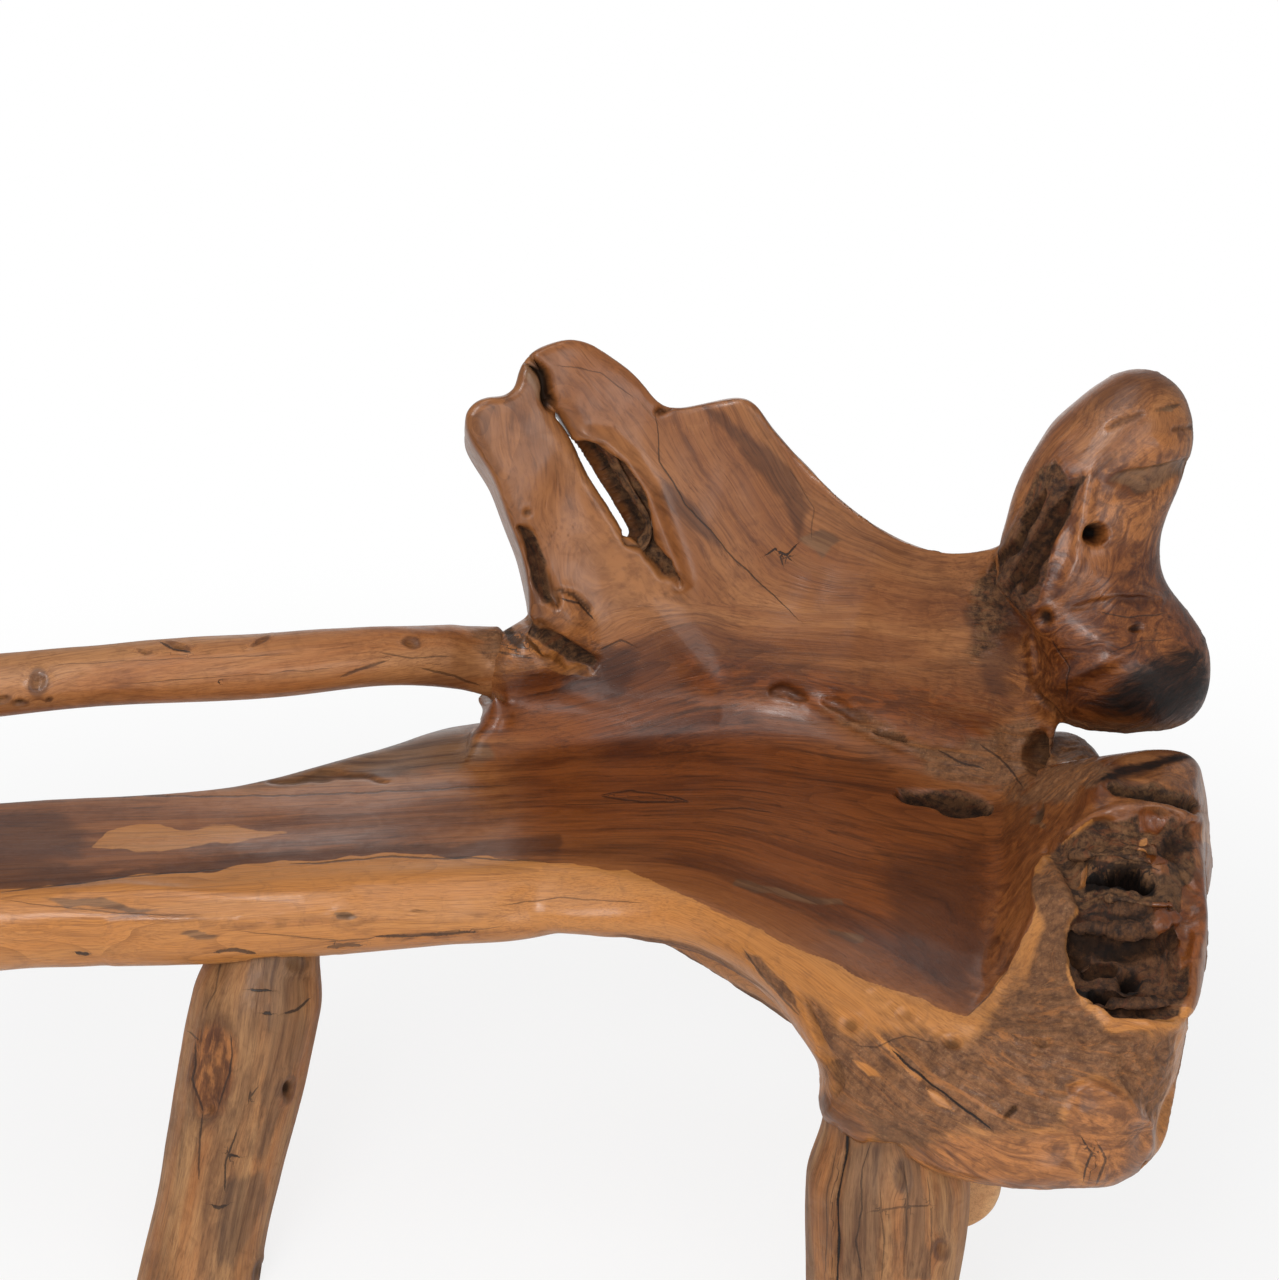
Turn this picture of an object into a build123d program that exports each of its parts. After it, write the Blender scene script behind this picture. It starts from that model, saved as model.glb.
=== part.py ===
from build123d import *
import os

os.makedirs("parts", exist_ok=True)

# A root bench of solid teak: one carved root makes the seat, back, horn and arm,
# a branch makes the back rail, and four peeled logs are its legs.
# Lengths are in millimetres, z is up from the floor, x runs towards the root end
# and y towards the back. x and y start under the middle of the back panel.

# Seat plank, the sawn and rounded part of the log that the root ends
seat_height = 450.0
plank_left = -850.0
plank_right = -20.0
plank_depth = 245.0
plank_thickness = 98.0
plank_front = -100.0
plank_crown = 8.0

# Root foot under the seat: plan outlines at five levels down from the seat
foot_left = -165.0
foot_length = 775.0
foot_front = -460.0
foot_depth = 805.0
foot_thickness = 214.0

# Back panel, with its front hollowed out and leaning backwards
back_left = -167.0
back_width = 640.0
back_height = 436.0
back_root = 60.0
back_plan_depth = 300.0
back_lean = 46.0
back_front_lean = 74.0
crest_drop = 186.0
hollow_radius = 58.0
hollow_reach = 420.0

# Slit between the two blades of the back
slit_width = 17.0
slit_length = 165.0
slit_x = -31.0
slit_y = 304.0
slit_height = 286.0
slit_tilt = 31.0
slit_slope = 24.0

# Horn at the root end of the back
horn_x = 520.0
horn_y = 142.0
horn_rise = 72.0
horn_height = 372.0
horn_width = 88.0
horn_depth = 58.0

# Heel, a mound behind the arm
heel_x = 462.0
heel_y = 92.0
heel_width = 44.0
heel_depth = 78.0
heel_height = 40.0

# Arm, a low bulge with a ramp down to the seat
arm_left = 279.0
arm_length = 320.0
arm_front = -436.0
arm_depth = 560.0
arm_height = 113.0
arm_sink = 12.0

# Back rail, a branch let into the root
rail_left = -850.0
rail_length = 728.0
rail_radius = 33.0
rail_y = 105.0
rail_sweep = 170.0
rail_rise = 122.0
rail_drop = 24.0
rail_tenon_radius = 17.0
rail_tenon_length = 50.0

# Short post between the plank and the rail
post_inset = 62.0
post_radius = 25.0
post_tenon_radius = 12.0
post_tenon_length = 34.0

# Legs: foot and top centres, and radii; the axis runs through both centres
front_left_foot = (-471.0, -117.0)
front_left_top = (-379.0, -24.0)
front_left_radius = 64.0
rear_left_foot = (-474.0, 146.0)
rear_left_top = (-392.0, 88.0)
rear_left_radius = 43.0
plank_leg_cover = 78.0
front_right_foot = (213.0, -352.0)
front_right_top = (216.0, -322.0)
front_right_radius = 77.0
front_right_cover = 124.0
rear_right_foot = (312.0, 182.0)
rear_right_top = (292.0, 112.0)
rear_right_radius = 58.0
rear_right_cover = 168.0
leg_tenon_share = 0.5
leg_tenon_length = 50.0

# Foxtail wedges in the legs' tenons
wedge_length = 34.0
wedge_thickness = 7.0
wedge_tip = 1.5
wedge_width_share = 1.3

# Bearer, a round log across the underside between the right legs
bearer_radius = 48.0
bearer_x = 290.0
bearer_y = -296.0
bearer_length = 378.0
bearer_let_in = 12.0
bearer_nose = 14.0

# Coach screws and washers that hold the bearer
screw_radius = 4.0
screw_length = 118.0
screw_head_across = 13.0
screw_head_height = 5.5
screw_spacing = 210.0
washer_radius = 11.0
washer_thickness = 1.6
counterbore_radius = 12.5
counterbore_depth = 12.0

# Pegs of hard wood
rail_peg_radius = 5.0
rail_peg_length = 88.0
post_peg_radius = 4.0
post_peg_length = 44.0

# Fits and overruns
joint_gap = 0.2
end_gap = 1.0
overrun = 40.0

# Outlines as shares of the sizes above
plank_profile_shares = [
    (0.00, 0.50), (0.05, 0.84), (0.19, 1.00), (0.55, 1.02), (0.88, 0.98),
    (1.00, 0.62), (0.93, 0.16), (0.60, 0.02), (0.24, 0.00), (0.06, 0.16),
]
# Per station along the plank: x, front and back edges, underside
plank_station_shares = [
    (0.000, 0.10, 0.86, 0.12), (0.030, 0.02, 0.94, 0.02), (0.250, 0.00, 1.02, 0.00),
    (0.440, -0.02, 1.07, 0.01), (0.605, 0.00, 1.22, 0.00), (0.760, 0.02, 1.50, 0.02),
    (0.890, 0.05, 1.66, 0.04), (1.000, 0.32, 1.50, 0.16),
]

rim_shares = [
    (0.00, 0.54), (0.140, 0.490), (0.270, 0.400), (0.385, 0.275), (0.490, 0.165),
    (0.590, 0.085), (0.705, 0.035), (0.806, 0.078), (0.874, 0.218), (0.936, 0.420),
    (0.972, 0.600), (0.895, 0.745), (0.705, 0.860), (0.510, 0.940), (0.275, 0.985),
    (0.050, 0.985), (0.005, 0.880),
]
waist_shares = [
    (0.01, 0.50), (0.130, 0.445), (0.260, 0.400), (0.352, 0.275), (0.427, 0.115),
    (0.535, 0.032), (0.700, 0.006), (0.806, 0.068), (0.876, 0.243), (0.942, 0.425),
    (0.984, 0.620), (0.905, 0.765), (0.710, 0.875), (0.510, 0.955), (0.275, 1.000),
    (0.055, 1.000), (0.005, 0.900),
]
lower_shares = [
    (0.06, 0.60), (0.190, 0.575), (0.325, 0.455), (0.405, 0.300), (0.420, 0.145),
    (0.510, 0.048), (0.690, 0.006), (0.802, 0.058), (0.864, 0.250), (0.922, 0.435),
    (0.955, 0.610), (0.880, 0.750), (0.690, 0.860), (0.500, 0.940), (0.285, 0.975),
    (0.085, 0.965), (0.050, 0.850),
]
belly_shares = [
    (0.21, 0.66), (0.290, 0.600), (0.385, 0.480), (0.445, 0.330), (0.462, 0.175),
    (0.540, 0.075), (0.685, 0.028), (0.795, 0.074), (0.846, 0.270), (0.884, 0.440),
    (0.900, 0.600), (0.820, 0.720), (0.650, 0.800), (0.490, 0.865), (0.340, 0.890),
    (0.235, 0.860), (0.200, 0.770),
]
keel_shares = [
    (0.390, 0.600), (0.425, 0.520), (0.455, 0.430), (0.480, 0.330), (0.500, 0.270),
    (0.545, 0.215), (0.645, 0.200), (0.735, 0.235), (0.795, 0.330), (0.835, 0.450),
    (0.845, 0.570), (0.785, 0.670), (0.655, 0.735), (0.520, 0.775), (0.430, 0.770),
    (0.380, 0.730), (0.360, 0.670),
]
foot_level_shares = [
    (0.0, rim_shares), (0.235, waist_shares), (0.48, lower_shares),
    (0.70, belly_shares), (1.0, keel_shares),
]

# Front view of the back, x and height over the seat, clockwise from the lower left;
# it holds at the depth of the plan, and slopes down to the rear with the crest
back_outline_shares = [
    (-0.010, -0.600), (-0.010, -0.360), (-0.010, -0.150), (0.008, -0.085), (0.028, -0.020), (0.038, 0.050),
    (0.066, 0.135), (0.095, 0.225), (0.103, 0.302), (0.098, 0.357), (0.088, 0.440),
    (0.064, 0.548), (0.040, 0.656), (0.006, 0.750), (0.001, 0.803), (0.018, 0.838),
    (0.043, 0.856), (0.068, 0.858), (0.085, 0.874), (0.094, 0.923), (0.111, 0.970),
    (0.142, 1.005), (0.187, 1.020), (0.245, 0.974), (0.295, 0.911), (0.342, 0.834),
    (0.379, 0.834), (0.429, 0.850), (0.475, 0.850), (0.512, 0.784), (0.562, 0.682),
    (0.610, 0.593), (0.658, 0.515), (0.721, 0.433), (0.766, 0.391), (0.811, 0.368),
    (0.850, 0.366), (0.900, 0.390), (0.950, 0.420), (0.985, 0.340), (0.985, 0.150),
    (0.945, -0.300), (0.900, -0.550), (0.870, -0.600),
]

# Plan of the back panel: front face and rear face, along x and forward to back
back_front_shares = [
    (-0.06, 0.490), (0.05, 0.510), (0.16, 0.575), (0.30, 0.600), (0.46, 0.590),
    (0.62, 0.500), (0.75, 0.340), (0.85, 0.170), (0.94, 0.020), (1.06, -0.150),
]
back_rear_shares = [
    (1.08, 0.250), (0.94, 0.400), (0.84, 0.570), (0.70, 0.760), (0.56, 0.875),
    (0.38, 0.925), (0.20, 0.935), (0.06, 0.925), (-0.06, 0.880),
]

# Horn sections from its lower lobe to its tip: height, offset and radii
horn_shares = [
    (0.000, 0.02, -0.70, 0.70, 0.72), (0.050, -0.02, -0.85, 0.96, 0.98),
    (0.150, -0.03, -0.98, 1.02, 1.12), (0.270, -0.12, -0.95, 1.02, 1.12),
    (0.400, -0.56, -0.56, 1.02, 1.03), (0.570, -0.54, -0.26, 0.96, 0.95),
    (0.730, -0.29, -0.06, 0.98, 0.90), (0.870, -0.06, 0.02, 0.77, 0.80),
    (0.955, 0.04, 0.02, 0.48, 0.54), (1.000, 0.06, 0.02, 0.18, 0.24),
]

# Heel sections from inside the foot to its top: height, offset and radii
heel_shares = [
    (0.00, 0.00, 0.00, 1.05, 1.04), (0.33, 0.00, 0.00, 1.04, 1.02), (0.67, 0.02, 0.02, 0.88, 0.88),
    (1.00, 0.06, 0.04, 0.46, 0.52),
]

# Arm outlines from the seat up, along x and front to back
arm_base_shares = [
    (0.350, 0.930), (0.215, 0.640), (0.100, 0.330), (0.000, 0.090), (0.090, 0.012),
    (0.400, 0.000), (0.620, 0.080), (0.760, 0.270), (0.900, 0.580), (0.980, 0.830),
    (0.900, 0.950), (0.620, 1.000),
]
arm_middle_shares = [
    (0.440, 0.800), (0.400, 0.630), (0.345, 0.440), (0.330, 0.340), (0.400, 0.270),
    (0.530, 0.230), (0.680, 0.250), (0.795, 0.370), (0.880, 0.580), (0.930, 0.770),
    (0.870, 0.840), (0.660, 0.850),
]
arm_top_shares = [
    (0.570, 0.620), (0.530, 0.590), (0.515, 0.550), (0.540, 0.510), (0.600, 0.490),
    (0.680, 0.485), (0.750, 0.500), (0.805, 0.540), (0.840, 0.600), (0.830, 0.650),
    (0.770, 0.665), (0.660, 0.650),
]
arm_level_shares = [(0.0, arm_base_shares), (0.52, arm_middle_shares), (1.0, arm_top_shares)]

# Rail stations: along, sweep to the back, drop and radius
rail_shares = [
    (0.00, 0.00, -0.02, 0.91), (0.13, 0.105, -0.16, 1.00), (0.27, 0.22, -0.29, 1.01),
    (0.41, 0.31, -0.29, 0.98), (0.55, 0.42, -0.08, 1.04), (0.69, 0.53, 0.10, 1.03),
    (0.80, 0.655, 0.28, 0.97), (0.88, 0.79, 0.76, 1.01), (0.94, 0.90, 1.25, 1.16),
    (1.00, 1.00, 2.10, 1.75),
]

# Leg stations: height along the axis, radius and sideways bow
leg_swell_shares = [
    (-0.10, 0.98, 0.00), (0.00, 0.98, 0.00), (0.25, 0.93, 0.05), (0.50, 0.99, 0.02),
    (0.75, 1.03, -0.03), (1.00, 1.00, 0.00),
]


# Heights that follow the seat
rail_z = seat_height + rail_rise
horn_base = seat_height + horn_rise


def foot_point(share):
    """A plan point of the root foot."""
    return (foot_left + share[0] * foot_length, foot_front + share[1] * foot_depth)


def arm_point(share):
    """A plan point of the arm."""
    return (arm_left + share[0] * arm_length, arm_front + share[1] * arm_depth)


def back_plan_point(share, forward=0):
    """A plan point of the back panel, moved forward by a length."""
    return (back_left + share[0] * back_width, back_root + share[1] * back_plan_depth - forward)


def level_faces(level_shares, place, start, rise):
    """Closed outline faces for a loft, one on each level from a height over a rise."""
    faces = []
    for level_share, outline_shares in level_shares:
        with BuildSketch(Plane.XY.offset(start + level_share * rise)) as face:
            with BuildLine():
                Spline(*[place(share) for share in outline_shares], periodic=True)
            make_face()
        faces.append(face.sketch)
    return faces


def lump_faces(lump_shares, centre, radii, start, rise):
    """Ellipses on level planes, for a lump."""
    faces = []
    for height_share, x_share, y_share, width_share, depth_share in lump_shares:
        with BuildSketch(Plane.XY.offset(start + height_share * rise)) as section:
            with Locations((centre[0] + x_share * radii[0], centre[1] + y_share * radii[1])):
                Ellipse(width_share * radii[0], depth_share * radii[1])
        faces.append(section.sketch)
    return faces


def leg_log(foot, top, cover, radius, extra=0):
    """A peeled log from the floor to its shoulder, and its tenon; extra grows it for its socket."""
    axis = Vector(*top, seat_height - cover) - Vector(*foot, 0)
    base = Plane(origin=(*foot, 0), z_dir=axis)
    shoulder = base.offset(axis.length + extra)
    with BuildPart() as log:
        for height_share, swell_share, bow_share in leg_swell_shares:
            with BuildSketch(base.offset(height_share * (axis.length + extra))):
                with Locations((bow_share * radius, 0)):
                    Circle(swell_share * radius + extra)
        loft()
        with BuildSketch(shoulder):
            Circle(leg_tenon_share * radius + extra)
        extrude(amount=leg_tenon_length + (end_gap if extra else 0))
        split(bisect_by=Plane.XY, keep=Keep.TOP)
    return log.part


def wedge_prism(foot, top, cover, width, extra=0):
    """The tapered wedge in the head of a leg's tenon; extra grows it for its kerf."""
    axis = Vector(*top, seat_height - cover) - Vector(*foot, 0)
    head = Plane(origin=(*top, seat_height - cover), z_dir=axis).offset(leg_tenon_length)
    with BuildPart() as prism:
        with BuildSketch(Plane(origin=head.origin, x_dir=head.x_dir, z_dir=-head.y_dir)):
            with BuildLine():
                Polyline(
                    (-wedge_thickness / 2 - extra, extra),
                    (wedge_thickness / 2 + extra, extra),
                    (wedge_tip / 2 + extra, -wedge_length - extra),
                    (-wedge_tip / 2 - extra, -wedge_length - extra),
                    close=True,
                )
            make_face()
        extrude(amount=width / 2, both=True)
    return prism.part


def rail_branch(extra=0):
    """The branch from its left end to the root, with its tenon; extra grows it for its socket."""
    with BuildPart() as branch:
        for along, sweep_share, drop_share, radius_share in rail_shares:
            centre = (
                rail_left + along * rail_length,
                rail_y + sweep_share * rail_sweep,
                rail_z - drop_share * rail_drop,
            )
            with BuildSketch(Plane(origin=centre, x_dir=(0, 1, 0), z_dir=(1, 0, 0))):
                Circle(radius_share * rail_radius + extra)
        loft()
        with BuildSketch(Plane(origin=centre, x_dir=(0, 1, 0), z_dir=(1, 0, 0))):
            Circle(rail_tenon_radius + extra)
        extrude(amount=rail_tenon_length + (end_gap if extra else 0))
    return branch.part


# Seat plank: log sections along x, sawn flat at the seat height
with BuildPart() as plank:
    for x_share, front_share, back_share, under_share in plank_station_shares:
        station_x = plank_left + x_share * (plank_right - plank_left)
        front_y = plank_front + front_share * plank_depth
        back_y = plank_front + back_share * plank_depth
        under_z = seat_height - plank_thickness * (1 - under_share)
        rise = seat_height + plank_crown - under_z
        with BuildSketch(Plane(origin=(station_x, 0, 0), x_dir=(0, 1, 0), z_dir=(1, 0, 0))):
            with BuildLine():
                Spline(
                    *[
                        (front_y + y_share * (back_y - front_y), under_z + z_share * rise)
                        for y_share, z_share in plank_profile_shares
                    ],
                    periodic=True,
                )
            make_face()
    loft()
    split(bisect_by=Plane.XY.offset(seat_height), keep=Keep.BOTTOM)

# Root foot: plan outlines lofted downwards
with BuildPart() as root_foot:
    loft(level_faces(foot_level_shares, foot_point, seat_height, -foot_thickness))

# Back: its plan leans backwards, is cut to the front view and hollowed to a coved seat
with BuildPart() as hollow:
    with BuildSketch(Plane.XY.offset(seat_height)):
        with BuildLine():
            face = Spline(*[back_plan_point(share) for share in back_front_shares])
            Polyline(
                face @ 1,
                ((face @ 1).X, -hollow_reach),
                ((face @ 0).X, -hollow_reach),
                face @ 0,
            )
        make_face()
    extrude(amount=back_height + 2 * overrun, dir=(0, back_front_lean, back_height))
    fillet(hollow.edges().group_by(Axis.Z)[0].sort_by(SortBy.LENGTH)[-1], hollow_radius)

with BuildPart() as back:
    with BuildSketch(Plane.XY.offset(seat_height)):
        with BuildLine():
            front = Spline(*[back_plan_point(share, hollow_radius) for share in back_front_shares])
            rear = Spline(*[back_plan_point(share) for share in back_rear_shares])
            Line(front @ 1, rear @ 0)
            Line(rear @ 1, front @ 0)
        make_face()
    extrude(amount=back_height + overrun, dir=(0, back_lean, back_height))
    with BuildSketch(Plane.XZ):
        with BuildLine():
            outline = Spline(
                *[
                    (back_left + x_share * back_width, seat_height + crest_drop + z_share * back_height)
                    for x_share, z_share in back_outline_shares
                ]
            )
            Line(outline @ 1, outline @ 0)
        make_face()
    cut_length = back_root + back_plan_depth + back_lean + crest_drop + overrun
    extrude(amount=cut_length, dir=(0, back_plan_depth, -crest_drop), mode=Mode.INTERSECT)
    add(hollow.part, mode=Mode.SUBTRACT)

# Horn: rounded sections from the hanging lobe to the tip
with BuildPart() as horn:
    loft(lump_faces(horn_shares, (horn_x, horn_y), (horn_width, horn_depth), horn_base, horn_height))

# Heel: a low mound on the foot
heel_base = seat_height - arm_sink
heel_rise = heel_height + arm_sink
with BuildPart() as heel:
    loft(lump_faces(heel_shares, (heel_x, heel_y), (heel_width, heel_depth), heel_base, heel_rise))

# Arm: outlines lofted upwards from inside the foot
with BuildPart() as arm:
    loft(level_faces(arm_level_shares, arm_point, seat_height - arm_sink, arm_height + arm_sink))

# Legs: four peeled logs, each let into the underside up to its shoulder
leg_sizes = {
    "front_left_leg": (front_left_foot, front_left_top, plank_leg_cover, front_left_radius),
    "rear_left_leg": (rear_left_foot, rear_left_top, plank_leg_cover, rear_left_radius),
    "front_right_leg": (front_right_foot, front_right_top, front_right_cover, front_right_radius),
    "rear_right_leg": (rear_right_foot, rear_right_top, rear_right_cover, rear_right_radius),
}
legs = {}
wedges = {}
sockets = {}
for name, (foot, top, cover, radius) in leg_sizes.items():
    wedge_width = wedge_width_share * leg_tenon_share * radius
    with BuildPart() as leg:
        add(leg_log(foot, top, cover, radius))
        add(wedge_prism(foot, top, cover, 2 * radius, joint_gap), mode=Mode.SUBTRACT)
    legs[name] = leg.part
    wedges[name + "_wedge"] = wedge_prism(foot, top, cover, wedge_width)
    sockets[name] = leg_log(foot, top, cover, radius, joint_gap)

# Bearer: a round log let into the keel, with a carved nose, coped round the two legs
keel_height = seat_height - foot_thickness
bearer_z = keel_height + bearer_let_in - bearer_radius
screw_places = [bearer_y + bearer_length / 2 + side * screw_spacing / 2 for side in (-1, 1)]
head_seat = bearer_z - bearer_radius + counterbore_depth


def bearer_log(extra=0):
    """The whole log of the bearer; extra grows it for its groove."""
    front_end = Plane(origin=(bearer_x, bearer_y - extra, bearer_z), x_dir=(1, 0, 0), z_dir=(0, 1, 0))
    with BuildPart() as log:
        with BuildSketch(front_end):
            Circle(bearer_radius + extra)
        extrude(amount=bearer_length + 2 * extra)
        fillet(log.edges().sort_by(Axis.Y)[0], bearer_nose)
    return log.part


def screw_shank(place, extra=0):
    """The shank of a coach screw from its seat in the bearer up into the root."""
    with BuildPart() as shank:
        with BuildSketch(Plane.XY.offset(head_seat - washer_thickness)):
            with Locations((bearer_x, place)):
                Circle(screw_radius + extra)
        extrude(amount=screw_length + (end_gap if extra else 0))
    return shank.part


with BuildPart() as right_bearer:
    add(bearer_log())
    for name in ("front_right_leg", "rear_right_leg"):
        add(sockets[name], mode=Mode.SUBTRACT)
    for place in screw_places:
        add(screw_shank(place, joint_gap), mode=Mode.SUBTRACT)
        with BuildSketch(Plane.XY.offset(head_seat)):
            with Locations((bearer_x, place)):
                Circle(counterbore_radius)
        extrude(amount=-(counterbore_depth + overrun), mode=Mode.SUBTRACT)

with BuildPart() as bearer_screws:
    for place in screw_places:
        add(screw_shank(place))
        with BuildSketch(Plane.XY.offset(head_seat - washer_thickness)):
            with Locations((bearer_x, place)):
                RegularPolygon(screw_head_across / 2, 6, major_radius=False)
        extrude(amount=-screw_head_height)

with BuildPart() as bearer_washers:
    for place in screw_places:
        with BuildSketch(Plane.XY.offset(head_seat)):
            with Locations((bearer_x, place)):
                Circle(washer_radius)
                Circle(screw_radius + joint_gap, mode=Mode.SUBTRACT)
        extrude(amount=-washer_thickness)

# Post under the left end of the rail, tenoned at both ends and coped to the rail
post_x = rail_left + post_inset
post_y = rail_y + post_inset / rail_length * rail_sweep
post_top = rail_z - rail_radius + post_tenon_length


def post_core(radius, bottom, top):
    """A round upright piece on the post's axis."""
    with BuildPart() as core:
        with BuildSketch(Plane.XY.offset(bottom)):
            with Locations((post_x, post_y)):
                Circle(radius)
        extrude(amount=top - bottom)
    return core.part


def post_tenons(extra=0):
    """The tenons below the seat and in the rail; extra grows them for their mortises."""
    end = end_gap if extra else 0
    return post_core(post_tenon_radius + extra, seat_height - post_tenon_length - end, post_top + end)


# Pegs through the tenons of the rail and of the post
rail_end = Vector(rail_left + rail_length, rail_y + rail_sweep, rail_z - rail_shares[-1][2] * rail_drop)


def rail_peg_rod(extra=0):
    """The peg driven from behind through the root and the rail's tenon."""
    tip_x = rail_end.X + rail_tenon_length / 2
    tip_y = rail_end.Y - rail_tenon_radius - end_gap
    with BuildPart() as rod:
        with BuildSketch(Plane(origin=(tip_x, tip_y, rail_end.Z), x_dir=(1, 0, 0), z_dir=(0, 1, 0))):
            Circle(rail_peg_radius + extra)
        extrude(amount=rail_peg_length + extra)
    return rod.part


def post_peg_rods(extra=0):
    """Two pegs driven from behind: one in the plank's back edge, one in the rail."""
    tip_y = post_y - post_tenon_radius - end_gap
    with BuildPart() as rods:
        for height in (seat_height - post_tenon_length / 2, rail_z + post_tenon_radius / 2):
            with BuildSketch(Plane(origin=(post_x, tip_y, height), x_dir=(1, 0, 0), z_dir=(0, 1, 0))):
                Circle(post_peg_radius + extra)
            extrude(amount=post_peg_length + extra)
    return rods.part


with BuildPart() as back_rail:
    add(rail_branch())
    add(post_tenons(joint_gap), mode=Mode.SUBTRACT)
    add(rail_peg_rod(joint_gap), mode=Mode.SUBTRACT)
    add(post_peg_rods(joint_gap), mode=Mode.SUBTRACT)

with BuildPart() as rail_post:
    add(post_core(post_radius, seat_height, rail_z))
    add(rail_branch(joint_gap), mode=Mode.SUBTRACT)
    add(post_tenons())
    add(post_peg_rods(joint_gap), mode=Mode.SUBTRACT)

with BuildPart() as rail_peg:
    add(rail_peg_rod())

with BuildPart() as post_pegs:
    add(post_peg_rods())

# The carved root: each block takes its own sockets, then all become one piece
with BuildPart() as plank_block:
    add(plank.part)
    add(sockets["front_left_leg"], mode=Mode.SUBTRACT)
    add(sockets["rear_left_leg"], mode=Mode.SUBTRACT)
    add(post_tenons(joint_gap), mode=Mode.SUBTRACT)
    add(post_peg_rods(joint_gap), mode=Mode.SUBTRACT)

with BuildPart() as foot_block:
    add(root_foot.part)
    add(sockets["front_right_leg"], mode=Mode.SUBTRACT)
    add(sockets["rear_right_leg"], mode=Mode.SUBTRACT)
    add(bearer_log(joint_gap), mode=Mode.SUBTRACT)
    for place in screw_places:
        add(screw_shank(place, joint_gap), mode=Mode.SUBTRACT)

with BuildPart() as back_block:
    add(back.part)
    slit_plane = Plane(
        origin=(slit_x, slit_y, seat_height + slit_height), x_dir=(1, 0, 0), z_dir=(0, -1, 0)
    ).rotated((-slit_slope, 0, 0))
    with BuildSketch(slit_plane):
        SlotOverall(slit_length, slit_width, rotation=slit_tilt - 90)
    extrude(amount=back_plan_depth, both=True, mode=Mode.SUBTRACT)
    add(rail_branch(joint_gap), mode=Mode.SUBTRACT)
    add(rail_peg_rod(joint_gap), mode=Mode.SUBTRACT)

with BuildPart() as root_seat:
    add(plank_block.part)
    add(foot_block.part)
    add(back_block.part)
    add(horn.part)
    add(heel.part)
    add(arm.part)

pieces = {
    "root_seat": root_seat.part,
    "back_rail": back_rail.part,
    "rail_post": rail_post.part,
    "right_bearer": right_bearer.part,
    "bearer_screws": bearer_screws.part,
    "bearer_washers": bearer_washers.part,
    "rail_peg": rail_peg.part,
    "post_pegs": post_pegs.part,
    **legs,
    **wedges,
}

# Origin on the floor under the middle of the whole bench
boxes = [piece.bounding_box() for piece in pieces.values()]
middle_x = (min(box.min.X for box in boxes) + max(box.max.X for box in boxes)) / 2
middle_y = (min(box.min.Y for box in boxes) + max(box.max.Y for box in boxes)) / 2
home = Location((-middle_x, -middle_y, -min(box.min.Z for box in boxes)))
for name, piece in pieces.items():
    placed = piece.moved(home)
    placed.label = name
    export_step(placed, f"parts/{name}.step")
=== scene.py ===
import math

import bpy
import numpy as np
from bpy.props import FloatProperty, FloatVectorProperty, IntProperty, PointerProperty
from mathutils import Matrix, Vector
from mathutils.bvhtree import BVHTree


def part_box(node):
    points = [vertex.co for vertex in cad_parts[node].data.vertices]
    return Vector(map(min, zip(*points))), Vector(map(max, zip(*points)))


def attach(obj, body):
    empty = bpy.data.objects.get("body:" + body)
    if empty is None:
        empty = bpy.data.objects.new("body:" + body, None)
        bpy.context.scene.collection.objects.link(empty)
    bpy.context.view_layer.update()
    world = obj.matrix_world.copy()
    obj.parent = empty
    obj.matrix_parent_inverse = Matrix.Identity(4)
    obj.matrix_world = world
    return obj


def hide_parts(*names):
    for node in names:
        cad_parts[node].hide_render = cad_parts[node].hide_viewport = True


bl_info = {
    "name": "Teak Root Bench",
    "version": (1, 0, 0),
    "blender": (4, 5, 0),
    "location": "3D View > Sidebar > Bench",
    "description": "Carves and finishes a bench made from one teak root",
    "category": "Mesh",
}

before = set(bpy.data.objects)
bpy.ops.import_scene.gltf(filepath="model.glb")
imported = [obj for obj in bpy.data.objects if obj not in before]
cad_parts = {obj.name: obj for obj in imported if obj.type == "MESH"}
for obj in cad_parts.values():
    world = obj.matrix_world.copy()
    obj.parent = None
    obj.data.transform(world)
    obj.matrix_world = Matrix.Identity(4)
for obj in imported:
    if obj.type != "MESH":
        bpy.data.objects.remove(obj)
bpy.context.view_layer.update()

# The photo's frame and its camera, in metres and degrees; the tables below are in its pixels
PHOTO_WIDTH = 1279
PHOTO_HEIGHT = 1280
CAMERA_TARGET = (0.1214, 0.0381, 0.673)
CAMERA_AZIMUTH = -4.0
CAMERA_ELEVATION = 24.0
CAMERA_DISTANCE = 3.0
CAMERA_SENSOR = 0.036
FOCAL_PIXELS = 3000.0
MM = 0.001

# Height of the top of the seat over the floor
SEAT_TOP = 0.450

# Where the rail's shoulder meets the root, and how far the root's collar reaches along it
RAIL_END = (0.000, 0.3145, 0.5215)
COLLAR = 0.034

# Directions of the grain, each from a pixel to a pixel along a streak of the root
GRAIN_STROKES = [
    ((40, 850), (260, 838)), ((300, 832), (480, 815)), ((120, 930), (420, 905)), ((440, 880), (640, 885)),
    ((500, 800), (700, 795)), ((700, 850), (900, 915)), ((760, 900), (950, 985)), ((780, 800), (970, 830)),
    ((490, 735), (600, 712)), ((560, 700), (640, 650)), ((600, 640), (560, 520)), ((540, 560), (490, 430)),
    ((700, 610), (600, 400)), ((600, 430), (560, 360)), ((800, 640), (720, 430)), ((960, 560), (800, 470)),
    ((700, 690), (860, 690)), ((760, 640), (960, 650)), ((880, 620), (1010, 620)),
    ((1010, 560), (1070, 460)), ((1060, 470), (1150, 395)), ((1095, 600), (1145, 545)),
    ((1060, 690), (1190, 650)), ((975, 990), (1035, 870)), ((1035, 860), (1090, 800)),
    ((850, 1000), (960, 1110)), ((960, 1120), (1100, 1170)), ((740, 960), (830, 1050)),
    ((1080, 880), (1190, 890)), ((1080, 980), (1180, 985)),
]

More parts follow.
